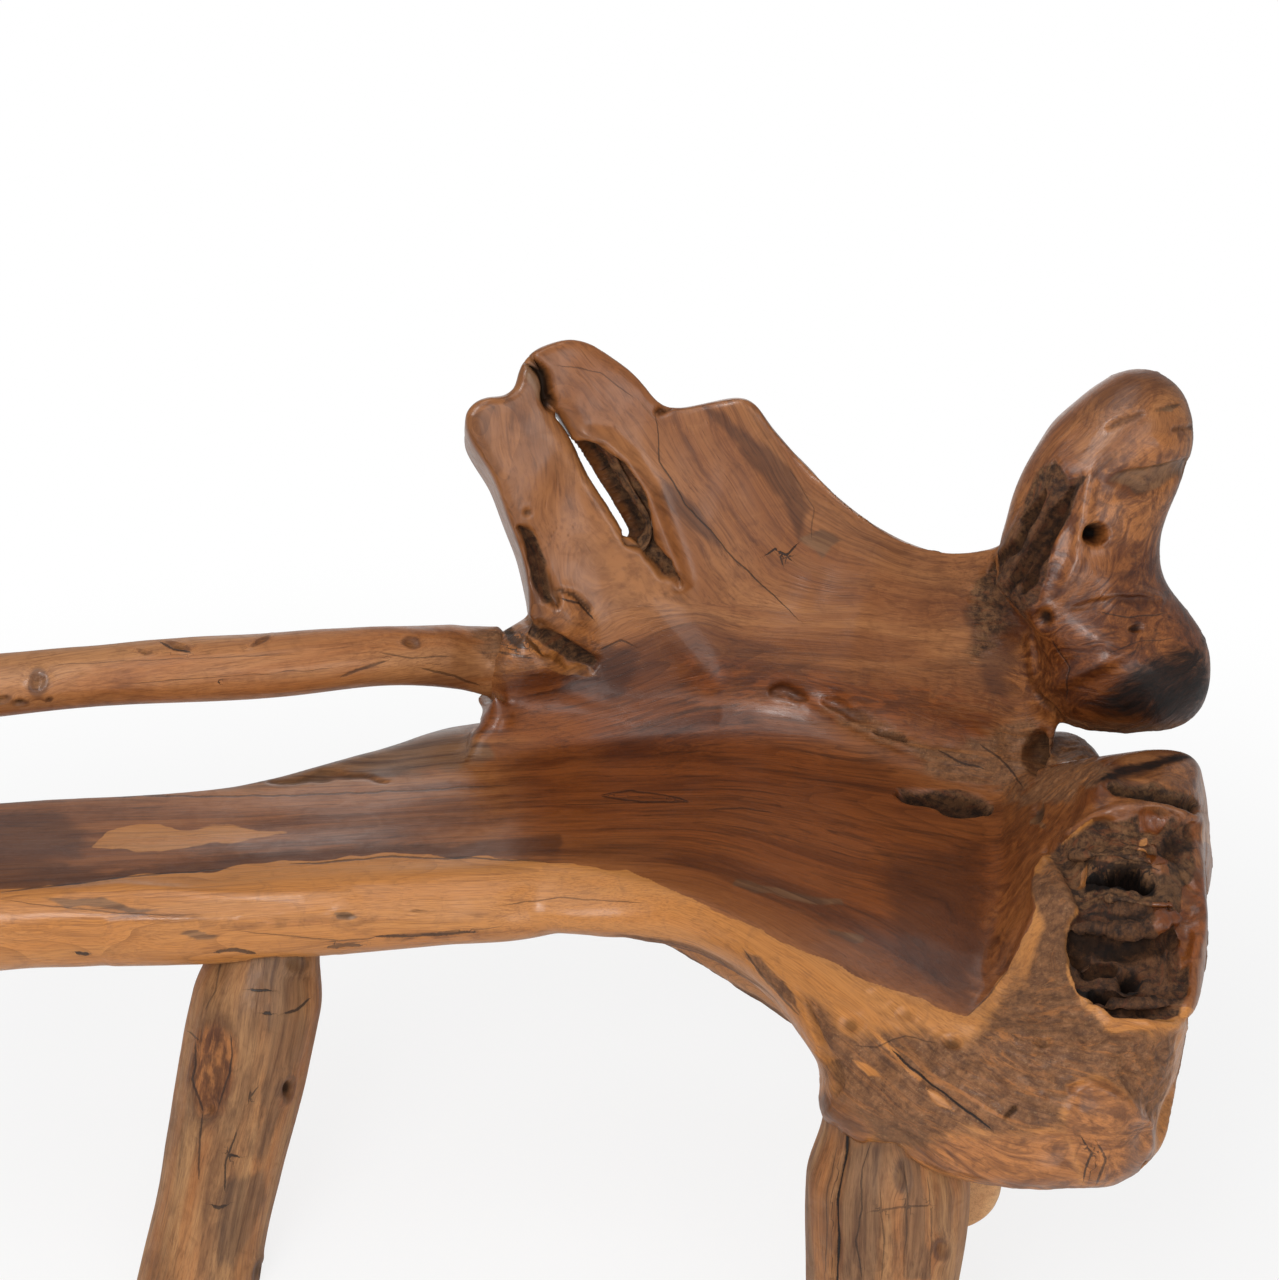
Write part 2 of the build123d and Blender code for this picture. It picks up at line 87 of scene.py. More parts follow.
# Cuts along a line of pixels: points, half width in pixels, depth in mm, how dark the painted shade at the
# bottom is
CUTS = [
    (((526, 356), (535, 366), (542, 376), (546, 395), (551, 412)), 6, 20, 0.9),
    (((655, 412), (668, 403)), 4, 8, 0.6),
    (((518, 527), (527, 536), (536, 560), (548, 588), (556, 604)), 9, 9, 0.5),
    (((538, 622), (552, 641), (575, 653), (594, 663)), 8, 6, 0.35),
    (((556, 590), (575, 597), (590, 613)), 3, 4, 0.7),
    (((269, 783), (330, 778), (391, 779)), 2.5, 2, 0.4),
    (((771, 692), (787, 690), (805, 696)), 5, 5, 0.4),
    (((821, 700), (845, 708), (868, 724)), 5, 4, 0.3),
    (((875, 735), (892, 738), (907, 746)), 4, 4, 0.5),
    (((897, 792), (930, 797), (985, 809)), 9, 12, 0.6),
    (((1155, 409), (1178, 403)), 3.5, 3, 0.3),
    (((1106, 426), (1143, 415)), 3.5, 3, 0.4),
    (((1171, 432), (1194, 426)), 3, 3, 0.4),
    (((1116, 788), (1150, 792), (1200, 812)), 8, 10, 0.5),
    (((1089, 868), (1112, 872), (1150, 877)), 5.5, 26, 1.0),
    (((1096, 979), (1120, 982), (1156, 986)), 6, 22, 1.0),
    (((1072, 930), (1130, 937), (1190, 930)), 6, 6, 0.3),
    (((1088, 955), (1120, 950)), 5, 9, 0.6),
    (((1085, 1003), (1130, 1008), (1180, 1010)), 4, 6, 0.5),
    (((1005, 1121), (1012, 1112), (1018, 1107)), 3, 3, 0.7),
    (((800, 1000), (822, 1050), (842, 1090)), 5, 4, 0.3),
    (((1005, 590), (1030, 556), (1060, 500)), 5, 5, 0.5),
    (((1020, 592), (1048, 540), (1072, 485)), 5, 6, 0.6),
    (((988, 572), (1012, 545), (1040, 490)), 4, 5, 0.6),
    (((1036, 690), (1050, 708), (1060, 722)), 4, 4, 0.4),
    (((1068, 612), (1110, 600), (1160, 604)), 5, 4, 0.2),
]

# Hollows round a pixel: centre, radii in pixels, tilt in degrees, depth in mm, how dark the bottom is
# (painted shade in pits, dark wood in knots), pale rim
HOLLOWS = [
    ((1095, 535), (11, 10), 0, 26, 1.0, 0.5),
    ((1043, 619), (9, 10), 0, 7, 0.9, 0.8),
    ((1137, 628), (9, 4), -10, 5, 0.8, 0.6),
    ((1037, 752), (9, 20), 8, 20, 0.6, 0.0),
    ((1037, 813), (7, 10), 0, 6, 0.6, 0.8),
    ((527, 512), (5, 4), 0, 2, 0.6, 0.4),
    ((1136, 962), (12, 10), 0, 22, 1.0, 0.0),
    ((1180, 838), (14, 10), 20, 9, 0.4, 0.3),
    ((1079, 941), (10, 12), 0, 12, 0.6, 0.0),
    ((849, 1024), (10, 8), 15, 3, 0.5, 0.9),
    ((877, 995), (9, 6), 15, 1, 0.1, 0.6),
    ((905, 1014), (8, 6), 15, 2, 0.3, 0.8),
    ((952, 1042), (9, 6), 10, 4, 0.6, 0.9),
    ((1042, 1039), (9, 5), 0, 2, 0.3, 0.6),
    ((842, 1138), (7, 4), 20, 9, 1.0, 0.4),
    ((1145, 1168), (6, 8), 0, 5, 0.8, 0.2),
    ((345, 915), (11, 3), 0, 1.5, 0.6, 0.4),
]

# Swells and dents round a pixel: centre, radii in pixels, tilt in degrees, height in mm
SWELLS = [
    ((832, 1112), (20, 26), 0, 18), ((862, 1134), (28, 18), 20, 14), ((1112, 1130), (26, 44), 10, 19),
    ((1078, 1108), (16, 22), 20, 7), ((340, 762), (70, 9), -12, 9), ((500, 716), (14, 12), 0, 8),
    ((566, 616), (20, 30), -35, 12), ((1176, 1120), (14, 44), 12, -14), ((862, 1070), (26, 20), 0, -5),
    ((980, 1070), (40, 24), 0, 5), ((1040, 1060), (40, 20), 0, -5), ((1150, 1080), (26, 30), 0, 5),
    ((1190, 1000), (14, 30), 0, 4), ((1056, 896), (15, 14), 0, 9), ((1170, 772), (24, 10), -10, 6),
    ((1167, 860), (14, 12), 0, 7), ((1172, 912), (20, 16), 0, 7), ((1140, 950), (56, 26), 0, -8),
    ((590, 400), (30, 50), 20, 5), ((840, 560), (90, 60), 20, -8), ((760, 470), (36, 60), -30, -6),
    ((820, 600), (18, 50), 20, 4), ((860, 610), (14, 50), 20, -3), ((540, 470), (22, 60), 20, 4),
    ((1000, 650), (30, 30), 0, -6), ((1057, 430), (14, 26), 30, 4), ((1163, 446), (16, 12), 0, 4),
    ((1146, 480), (36, 12), -15, -6), ((1110, 580), (30, 20), 0, 6), ((1150, 640), (40, 16), -20, -5),
    ((1104, 640), (18, 16), 0, 5), ((870, 730), (70, 12), 20, 5), ((930, 755), (60, 12), 15, 6),
    ((1014, 752), (14, 24), 0, 10), ((600, 740), (60, 14), -6, -4), ((820, 860), (110, 34), 8, -5),
    ((250, 830), (200, 16), -2, -3), ((456, 742), (56, 18), -14, 12), ((780, 1000), (30, 40), -40, -4),
    ((940, 1100), (50, 16), 35, -5), ((1010, 1150), (70, 18), 6, 5), ((470, 925), (90, 12), 0, 3),
    ((150, 915), (120, 10), 0, 3), ((540, 664), (26, 26), 0, 10),
]

# Ridges along a line of pixels: points, half width in pixels, height in mm
RIDGES = [
    (((576, 433), (603, 439), (626, 459), (646, 491), (661, 530), (684, 590)), 9, 10),
    (((885, 1040), (905, 1056), (925, 1074), (944, 1092)), 5, 4),
    (((1070, 1092), (1090, 1084), (1120, 1096), (1140, 1122), (1146, 1152)), 8, 7),
    (((900, 1150), (960, 1166), (1020, 1172), (1066, 1168)), 14, 6),
    (((1088, 1130), (1096, 1150), (1098, 1178)), 5, 4),
    (((838, 1100), (852, 1112), (858, 1128), (848, 1142)), 5, 5),
    (((1064, 930), (1084, 922), (1130, 926), (1190, 918)), 6, 5),
    (((1080, 1000), (1110, 1003), (1180, 1000)), 7, 6),
    (((1100, 846), (1130, 842), (1166, 846)), 6, 5),
    (((1058, 468), (1040, 510), (1016, 560), (986, 600)), 6, 4),
    (((1030, 500), (1010, 540), (985, 575)), 5, 4),
    (((1046, 690), (1090, 668), (1130, 650), (1160, 634)), 8, 5),
    (((1100, 600), (1130, 592), (1164, 602)), 7, 5),
    (((556, 420), (580, 470), (606, 512), (626, 548)), 8, 4),
    (((1060, 600), (1078, 560), (1086, 500), (1092, 470)), 8, 5),
    (((1030, 633), (1034, 660), (1038, 684)), 6, 6),
    (((975, 1015), (1012, 975), (1040, 915), (1040, 872), (1062, 842), (1095, 819), (1119, 809),
      (1163, 808), (1190, 816), (1206, 829)), 6, 6),
    (((1062, 853), (1110, 852), (1160, 860)), 9, 9),
    (((1088, 893), (1130, 898), (1180, 906)), 9, 9),
    (((1068, 962), (1082, 999), (1112, 1018), (1184, 1028)), 5, 5),
    (((745, 945), (800, 985), (835, 1006), (862, 1012)), 6, 3),
    (((852, 1112), (868, 1130), (886, 1152)), 5, 5),
    (((810, 697), (862, 730), (905, 752), (960, 772)), 6, 4),
    (((51, 893), (119, 886), (204, 893), (357, 895)), 5, 2.5),
    (((560, 690), (640, 712), (720, 716)), 12, 3),
    (((640, 600), (680, 640), (720, 690)), 14, 3),
]

# Thin dark lines of grain and cracks, and wider painted shade in the slots, holes and crevice: points, half
# width in pixels, how dark
LINES_AND_SLOT_SHADE = [
    (((655, 413), (660, 461), (686, 505), (710, 530), (733, 558), (763, 587), (798, 619)), 0.8, 0.7),
    (((764, 556), (774, 549), (786, 556), (797, 544)), 1.1, 0.9),
    (((778, 551), (784, 567)), 0.9, 0.8),
    (((786, 556), (792, 562)), 0.8, 0.8),
    (((560, 365), (600, 372), (634, 398)), 0.6, 0.5),
    (((0, 799), (153, 795), (272, 795), (408, 790), (510, 784)), 0.9, 0.6),
    (((286, 866), (393, 857), (480, 858), (540, 861)), 0.9, 0.7),
    (((0, 892), (150, 874), (230, 868)), 0.8, 0.6),
    (((374, 936), (430, 934), (476, 931)), 1.6, 0.8),
    (((240, 931), (330, 940), (420, 933), (500, 926)), 0.8, 0.45),
    (((1078, 1132), (1088, 1150), (1082, 1178)), 1.0, 0.8),
    (((1092, 1134), (1099, 1154), (1094, 1180)), 1.0, 0.7),
    (((1080, 1146), (1092, 1150)), 0.8, 0.6),
    (((74, 953), (90, 954)), 1.8, 0.9),
    (((214, 953), (235, 950), (255, 954)), 1.8, 0.8),
    (((326, 948), (345, 944), (362, 944)), 2.0, 0.7),
    (((10, 900), (60, 907), (120, 914), (200, 916)), 0.6, 0.5),
    (((500, 905), (560, 897), (640, 902)), 0.7, 0.5),
    (((890, 1050), (915, 1072), (941, 1092), (960, 1108), (991, 1129)), 1.5, 0.95),
    (((601, 795), (630, 790), (666, 794), (690, 800)), 1.0, 0.7),
    (((601, 796), (640, 801), (690, 801)), 1.0, 0.7),
    (((709, 808), (740, 806), (773, 811)), 0.9, 0.6),
    (((851, 1045), (875, 1046), (905, 1034), (935, 1042)), 0.7, 0.5),
    (((741, 949), (765, 985), (795, 1016)), 1.2, 0.6),
    (((1085, 905), (1110, 911), (1150, 916)), 1.4, 0.7),
    (((1070, 859), (1110, 863), (1160, 868)), 1.2, 0.7),
    (((966, 1017), (990, 1000), (1010, 975)), 0.9, 0.5),
    (((560, 597), (578, 602), (592, 618)), 1.2, 0.8),
    (((600, 650), (620, 640), (634, 646)), 0.9, 0.6),
    # The next two paint shade in the crevice behind the rail
    (((505, 629), (512, 640), (524, 647)), 4.5, 0.8),
    (((520, 634), (532, 644), (542, 652)), 3.0, 0.7),
    (((490, 648), (510, 655), (530, 657)), 1.2, 0.6),
    (((790, 470), (812, 510), (810, 540)), 0.7, 0.4),
    (((980, 745), (1002, 760), (1022, 786)), 1.2, 0.7),
    (((940, 752), (960, 764), (985, 770)), 1.2, 0.7),
    (((1100, 612), (1130, 618), (1164, 612)), 0.8, 0.6),
    (((1050, 640), (1070, 668), (1066, 700)), 0.9, 0.6),
    (((1110, 652), (1140, 640), (1176, 636)), 0.7, 0.5),
    # From here on, painted shade in the slots, holes and cuts of the arm
    (((1086, 868), (1112, 872), (1150, 877)), 5, 1.0),
    (((1080, 977), (1110, 982), (1156, 987)), 5, 1.0),
    (((1128, 960), (1146, 963)), 8, 0.95),
    (((1078, 930), (1120, 938), (1160, 932)), 3, 0.7),
    (((1118, 790), (1150, 794), (1196, 810)), 4, 0.7),
    (((1166, 834), (1184, 836), (1200, 846)), 5, 0.6),
    (((1070, 880), (1078, 884)), 3, 0.8),
]

# The ledge of bark along the right of the slit, the rough face of the arm and the crevice behind the rail
LEDGE = (
    (566, 436), (573, 440), (588, 440), (601, 449), (621, 464), (639, 496), (647, 519), (658, 549),
    (680, 586), (662, 574), (645, 548), (630, 540), (612, 510), (590, 475),
)
ARM_FACE = (
    (1048, 852), (1068, 840), (1095, 823), (1160, 812), (1200, 828), (1203, 880), (1199, 960),
    (1184, 1020), (1112, 1014), (1084, 996), (1070, 960), (1066, 930), (1080, 910), (1070, 880),
)
CREVICE = (
    (527, 616), (540, 632), (560, 641), (584, 650), (598, 661), (590, 672), (566, 667), (542, 655),
    (528, 640),
)

# Places that are sunk below the surface round them: outline, soft edge in pixels, depth in mm
SINKS = [
    (LEDGE, 5, 22),
    (ARM_FACE, 12, 12),
    (CREVICE, 9, 7),
    (((1110, 482), (1118, 476), (1146, 471), (1171, 463), (1192, 461), (1188, 472), (1168, 484),
      (1140, 493)), 6, 4),
    (((1078, 922), (1150, 916), (1196, 926), (1190, 990), (1084, 988)), 16, 6),
]

# Where the polished seat ends at its front edge and at the arm
SEAT_RIM = (
    (-260, 912), (-20, 894), (150, 873), (286, 864), (393, 855), (480, 856), (560, 862), (623, 871),
    (694, 896), (730, 917), (837, 964), (873, 981), (966, 1017),
)
RAMP_RIM = (
    (1012, 977), (1040, 916), (1039, 872), (1060, 845), (1095, 820),
)
FRONT_RIM = (
    (1110, 1010), (1230, 1010), (1230, 1230), (800, 1230), (690, 980), (-260, 1030),
)

# Rough dark bark: outline in pixels, soft edge in pixels, roughness in mm
BARK_PATCHES = [
    (LEDGE, 5, 3.0),
    (((1052, 459), (1067, 477), (1089, 473), (1077, 493), (1069, 516), (1052, 539), (1044, 578),
      (1034, 602), (1018, 614), (1007, 600), (983, 600), (968, 596), (975, 584), (1003, 555), (1015, 528),
      (1022, 497), (1038, 473)), 9, 3.5),
    (((518, 527), (534, 532), (548, 560), (552, 600), (542, 600), (530, 560)), 9, 2.0),
    (CREVICE, 7, 2.5),
    (((498, 630), (508, 622), (516, 626), (520, 636), (532, 640), (538, 652), (524, 656), (510, 650),
      (502, 642)), 7, 1.0),
    (ARM_FACE, 7, 5.0),
    (((975, 584), (1003, 545), (1020, 510), (1034, 500), (1040, 560), (1010, 625), (970, 660)), 50, 2.0),
    (((1112, 784), (1150, 782), (1196, 800), (1203, 812), (1150, 802), (1116, 796)), 6, 3.0),
    (((895, 785), (960, 790), (990, 805), (985, 815), (930, 806)), 8, 2.5),
]

# Light-brown rough skin under the bark, in the same way
SKIN_PATCHES = [
    (((838, 1034), (863, 1038), (874, 1041), (899, 1032), (916, 1032), (938, 1041), (963, 1049),
      (977, 1041), (988, 1021), (1002, 996), (1018, 983), (1049, 972), (1072, 975), (1085, 1008),
      (1115, 1024), (1182, 1036), (1172, 1080), (1150, 1126), (1120, 1100), (1100, 1075), (1085, 1085),
      (1075, 1110), (1068, 1128), (1030, 1135), (1000, 1140), (960, 1135), (930, 1150), (905, 1155),
      (886, 1150), (864, 1118), (850, 1100), (838, 1085), (826, 1075), (822, 1060), (812, 1030), (799, 995),
      (812, 998), (826, 1010)), 44, 3.2),
    (((741, 949), (760, 956), (782, 983), (790, 1006), (795, 1016), (783, 1006), (765, 985), (752, 965)),
      9, 1.0),
    (((1034, 738), (1060, 730), (1078, 738), (1116, 774), (1098, 784), (1076, 802), (1030, 803),
      (1000, 803), (1010, 790), (1030, 784)), 24, 2.2),
    (((880, 730), (940, 748), (1000, 728), (1036, 724), (1034, 790), (1000, 792), (930, 770)), 26, 2.5),
    (((1026, 985), (1044, 925), (1038, 885), (1060, 850), (1084, 866), (1078, 905), (1066, 930),
      (1068, 962), (1092, 1004), (1040, 1010)), 16, 1.4),
    (((776, 684), (830, 690), (876, 716), (912, 740), (906, 752), (850, 732), (806, 704), (774, 700)), 14,
      1.6),
]

# Swirling burl with dark veins: outline, edge, share
BURL_PATCHES = [
    (((1000, 560), (1030, 510), (1060, 460), (1110, 440), (1205, 420), (1205, 470), (1178, 540),
      (1180, 600), (1220, 650), (1220, 720), (1150, 735), (1040, 735), (1010, 680), (1020, 610)), 60, 0.85),
    (((1040, 460), (1080, 390), (1140, 365), (1205, 395), (1205, 440), (1110, 450)), 60, 0.35),
    (((1000, 800), (1040, 735), (1120, 755), (1220, 750), (1220, 850), (1160, 808), (1095, 820),
      (1060, 845), (1040, 880), (1014, 970), (985, 1000), (985, 900)), 40, 0.65),
    (((1066, 1085), (1110, 1078), (1156, 1120), (1150, 1190), (1090, 1194), (1070, 1135)), 18, 1.0),
    (((880, 1146), (960, 1136), (1070, 1130), (1084, 1195), (980, 1200), (890, 1170)), 22, 0.9),
    (((806, 1085), (846, 1092), (872, 1122), (885, 1158), (822, 1150)), 16, 1.0),
    (((536, 600), (566, 588), (600, 626), (604, 658), (560, 642)), 14, 0.6),
    (((470, 632), (500, 624), (540, 636), (600, 668), (600, 680), (530, 675), (472, 680)), 12, 0.7),
    (ARM_FACE, 10, 0.55),
    (((940, 690), (1040, 690), (1040, 740), (880, 740)), 40, 0.5),
    (((50, 905), (150, 907), (240, 917), (330, 915), (430, 921), (330, 931), (240, 932), (140, 923)), 14,
      0.5),
    (((330, 940), (420, 930), (520, 926), (620, 930), (520, 936), (420, 942)), 10, 0.45),
]

# Smooth grey patches
ASH_PATCHES = [
    (((1110, 482), (1118, 476), (1146, 471), (1171, 463), (1192, 461), (1188, 472), (1168, 484),
      (1140, 493)), 8),
    (((1152, 411), (1166, 404), (1182, 402), (1170, 411)), 3),
    (((367, 748), (442, 742), (486, 744), (493, 759), (459, 769), (391, 776), (306, 778)), 20),
    (((200, 788), (300, 770), (440, 738), (480, 734), (470, 745), (300, 785)), 26),
    (((41, 896), (80, 898), (163, 911), (120, 912), (70, 906)), 5),
    (((333, 912), (350, 910), (358, 916), (340, 919)), 3),
    (((175, 933), (200, 929), (228, 934), (200, 938)), 3),
    (((740, 880), (770, 884), (840, 900), (842, 906), (780, 896), (736, 886)), 6),
    (((826, 928), (862, 934), (866, 940), (830, 936)), 4),
    (((1040, 802), (1030, 808), (1030, 826), (1046, 826)), 4),
    (((526, 360), (546, 372), (548, 408), (536, 398), (524, 376)), 5),
    (((800, 540), (820, 530), (840, 545), (820, 562)), 10),
]

# Near-black heart and scorched edges, and painted shade in the upper slot of the arm
CHAR_AND_SLOT_SHADE_PATCHES = [
    (((1100, 702), (1120, 682), (1160, 654), (1206, 640), (1218, 692), (1200, 718), (1163, 722),
      (1126, 716)), 50),
    (((1096, 780), (1125, 766), (1176, 755), (1194, 762), (1160, 774), (1115, 784)), 14),
    # Painted shade in the upper slot of the arm
    (((1082, 866), (1152, 874), (1152, 884), (1082, 880)), 5),
]

# Pale sapwood, apart from the rim that the seat keeps, and a pale streak on the knob that is partly a painted
# highlight
SAP_AND_KNOB_HIGHLIGHT_PATCHES = [
    (((92, 847), (104, 832), (118, 824), (150, 823), (190, 825), (218, 830), (205, 841), (180, 848),
      (130, 850)), 5),
    (((180, 826), (240, 826), (290, 830), (240, 840), (180, 846)), 16),
    (((846, 1058), (862, 1064), (878, 1082), (862, 1078)), 5),
    (((869, 1029), (888, 1044), (924, 1077), (918, 1080), (884, 1052)), 4),
    (((922, 1082), (936, 1090), (952, 1112), (936, 1104)), 5),
    (((804, 1016), (814, 1030), (832, 1058), (824, 1060), (812, 1040)), 4),
    (((850, 1116), (864, 1128), (888, 1156), (872, 1152)), 5),
    (((1197, 768), (1216, 790), (1216, 845), (1206, 845), (1200, 800)), 5),
    (((1184, 1026), (1196, 1030), (1172, 1132), (1156, 1132), (1170, 1090)), 5),
    (((1066, 962), (1074, 966), (1088, 1002), (1112, 1018), (1184, 1030), (1110, 1028), (1080, 1006)), 5),
    (((474, 640), (500, 630), (540, 642), (562, 656), (592, 668), (596, 676), (560, 673), (530, 669),
      (480, 674)), 9),
    (((1072, 864), (1082, 860), (1086, 870), (1074, 876)), 4),
    # Pale streak on the knob, partly a painted highlight
    (((1066, 1086), (1080, 1078), (1102, 1096), (1114, 1126), (1104, 1130), (1086, 1106), (1070, 1098)), 8),
    (((1140, 831), (1150, 829), (1152, 839), (1142, 841)), 4),
]

# Reddish burl and warm heartwood
RED_PATCHES = [
    (((1060, 560), (1168, 548), (1176, 606), (1120, 616), (1050, 612)), 50),
    (((1148, 842), (1174, 846), (1174, 872), (1150, 868)), 8),
    (((1150, 894), (1176, 892), (1192, 920), (1180, 930), (1150, 924)), 8),
    (((1080, 786), (1110, 790), (1100, 806), (1074, 808)), 10),
    (((1140, 812), (1170, 816), (1160, 826), (1140, 822)), 6),
    (((1070, 1085), (1110, 1080), (1146, 1130), (1140, 1182), (1090, 1182), (1072, 1130)), 40),
    (((890, 1150), (1000, 1142), (1070, 1132), (1080, 1190), (980, 1190), (880, 1160)), 40),
    (((816, 1092), (850, 1098), (870, 1126), (880, 1152), (830, 1140)), 12),
    (((680, 660), (1000, 700), (980, 740), (860, 720), (700, 690)), 70),
    (((1190, 880), (1210, 880), (1206, 960), (1192, 960)), 8),
]

# Dark stains in the polished wood
STAIN_PATCHES = [
    (((1050, 560), (1170, 548), (1180, 602), (1120, 618), (1046, 614)), 40),
    (((880, 850), (985, 840), (992, 950), (966, 1005), (900, 965)), 70),
    (((704, 402), (727, 412), (752, 440), (790, 470), (806, 510), (800, 545), (780, 500), (745, 462),
      (724, 430)), 18),
    (((655, 470), (700, 510), (730, 560), (690, 530), (660, 500)), 18),
    (((-160, 880), (0, 855), (110, 870), (300, 850), (560, 836), (560, 852), (300, 868), (0, 892)), 14),
    (((-90, 840), (0, 815), (60, 812), (90, 835), (80, 860), (0, 870)), 44),
    (((560, 640), (640, 650), (620, 700), (560, 690)), 20),
    (((36, 904), (100, 905), (184, 922), (176, 930), (100, 920), (44, 914)), 12),
    (((960, 610), (1040, 600), (1030, 690), (990, 700)), 24),
]

# Deep reddish heartwood of the seat, and painted shade in two hollows of the arm: outline, soft edge, share
DEEP_WOOD_AND_HOLLOW_SHADE_PATCHES = [
    (((520, 712), (640, 660), (760, 690), (880, 745), (985, 800), (1060, 800), (1095, 800), (1060, 845),
      (1039, 872), (1040, 916), (1012, 977), (966, 1017), (873, 981), (730, 917), (623, 871), (540, 860),
      (500, 850), (500, 760)), 110, 1.0),
    (((-260, 805), (300, 790), (640, 760), (640, 870), (393, 855), (150, 873), (-20, 894), (-260, 912)),
      14, 0.45),
    (((440, 735), (520, 700), (640, 640), (780, 660), (900, 700), (1000, 720), (960, 760), (760, 700),
      (560, 740)), 100, 0.9),
    (((470, 740), (486, 690), (520, 664), (600, 670), (640, 700), (560, 750)), 24, 0.9),
    (((540, 345), (600, 340), (650, 390), (650, 420), (600, 430), (560, 400)), 60, 0.45),
    (((470, 400), (530, 400), (560, 480), (600, 600), (540, 600), (500, 500)), 60, 0.25),
    (((1050, 545), (1180, 540), (1230, 640), (1230, 730), (1060, 735), (1030, 660)), 60, 1.0),
    (((1000, 640), (1000, 560), (1030, 500), (1064, 450), (1090, 480), (1060, 560), (1050, 640)), 40, 1.0),
    (((1070, 905), (1200, 900), (1204, 965), (1180, 1020), (1110, 1016), (1070, 960)), 20, 0.9),
    # Painted shade in the hollow at the top right of the arm
    (((1160, 815), (1204, 822), (1204, 855), (1160, 850)), 16, 0.8),
    # Painted shade in the cavity between the ridge and the heel of the arm
    (((1000, 735), (1060, 720), (1120, 760), (1100, 790), (1000, 800)), 30, 0.8),
    (((806, 1085), (846, 1092), (872, 1122), (885, 1158), (822, 1150)), 24, 0.9),
]

# Large primes that scatter the lattice of the noise, and the bits that are kept
AXIS_PRIMES = (73856093, 19349663, 83492791)
SEED_PRIME = 2654435761
MIX_PRIME = 1274126177
LOW_31_BITS = 0x7FFFFFFF
LOW_16_BITS = 0xFFFF

# Sight: how far in front of a point a ray stops, then rounds of spreading and the soft limits of the share
# of a point's surroundings that the camera sees, for what is painted and for what is swelled
SIGHT_MARGIN = 0.004
SEEN_EDGE = (2, 0.3, 0.8)
NEAR_EDGE = (24, 0.03, 0.4)

# The waves in metres that move about what is painted and drawn by pixels, with how far they move it on the
# root, on the logs and for drawn lines, in pixels
FRAY_WAVE = 0.035
ROOT_FRAY = 4.0
LOG_FRAY = 2.5
LINE_WAVE = 0.02
LINE_SHIFT = 1.2
LINE_SEED = 71

# The furthest distance that is stored for a drawn line, and where lines fade out, in pixels
LINE_FAR = 60.0
LINE_FADE = (8, 5)


def photo_axes():
    """The camera's place and its right, up and back directions."""
    turn, lift = math.radians(CAMERA_AZIMUTH), math.radians(CAMERA_ELEVATION)
    back = np.array([math.sin(turn) * math.cos(lift), -math.cos(turn) * math.cos(lift), math.sin(lift)])
    right = np.array([math.cos(turn), math.sin(turn), 0.0])
    return np.array(CAMERA_TARGET) + back * CAMERA_DISTANCE, right, np.cross(back, right), back


def photo_pixels(points):
    """Where points in the frame lie in the photo."""
    place, right, up, back = photo_axes()
    away = points - place
    depth = -away @ back
    across = PHOTO_WIDTH / 2 + FOCAL_PIXELS * (away @ right) / depth
    down = PHOTO_HEIGHT / 2 - FOCAL_PIXELS * (away @ up) / depth
    return np.stack([across, down], axis=1)


def pixel_ray(pixel):
    """The camera's place and the direction through a pixel."""
    place, right, up, back = photo_axes()
    aim = right * (pixel[0] - PHOTO_WIDTH / 2) + up * (PHOTO_HEIGHT / 2 - pixel[1]) - back * FOCAL_PIXELS
    return Vector(place), Vector(aim).normalized()


def smooth_step(value, low, high):
    """0 at low, 1 at high and a smooth slope between them."""
    share = np.clip((value - low) / (high - low), 0, 1)
    return share * share * (3 - 2 * share)


def lattice_noise(points, seed):
    """Smooth random values from -1 to 1 at points, with one wave for each unit."""
    cell = np.floor(points).astype(np.int64)
    share = points - cell
    share = share * share * (3 - 2 * share)
    total = np.zeros(len(points))
    for corner in range(8):
        step = np.array([corner & 1, corner >> 1 & 1, corner >> 2 & 1])
        x, y, z = (cell + step).T
        mixed = (x * AXIS_PRIMES[0]) ^ (y * AXIS_PRIMES[1]) ^ (z * AXIS_PRIMES[2]) ^ (seed * SEED_PRIME)
        mixed = (mixed ^ (mixed >> 13)) * MIX_PRIME & LOW_31_BITS
        mixed = (mixed ^ (mixed >> 15)) & LOW_16_BITS
        weight = np.prod(np.where(step, share, 1 - share), axis=1)
        total += weight * (mixed / (LOW_16_BITS / 2) - 1)
    return total


def layered_noise(points, wave, seed, layers=3):
    """Noise with finer layers on top, for a wave length in metres."""
    total = np.zeros(len(points))
    for layer in range(layers):
        total += lattice_noise(points / wave * 2**layer, seed + layer) / 2**layer
    return total


def line_distance(pixels, path):
    """How far pixels are from a path, their share along it and which side they are on."""
    path = np.array(path, float)
    lengths = np.linalg.norm(np.diff(path, axis=0), axis=1)
    starts = np.concatenate([[0], np.cumsum(lengths)])
    nearest = np.full(len(pixels), 1e9)
    along = np.zeros(len(pixels))
    side = np.ones(len(pixels))
    for index, length in enumerate(lengths):
        step = (path[index + 1] - path[index]) / length
        offset = pixels - path[index]
        reach = np.clip(offset @ step, 0, length)
        away = np.linalg.norm(offset - reach[:, None] * step, axis=1)
        closer = away < nearest
        nearest[closer] = away[closer]
        along[closer] = (starts[index] + reach[closer]) / starts[-1]
        side[closer] = np.sign(offset[closer, 0] * step[1] - offset[closer, 1] * step[0] + 1e-9)
    return nearest, along, side


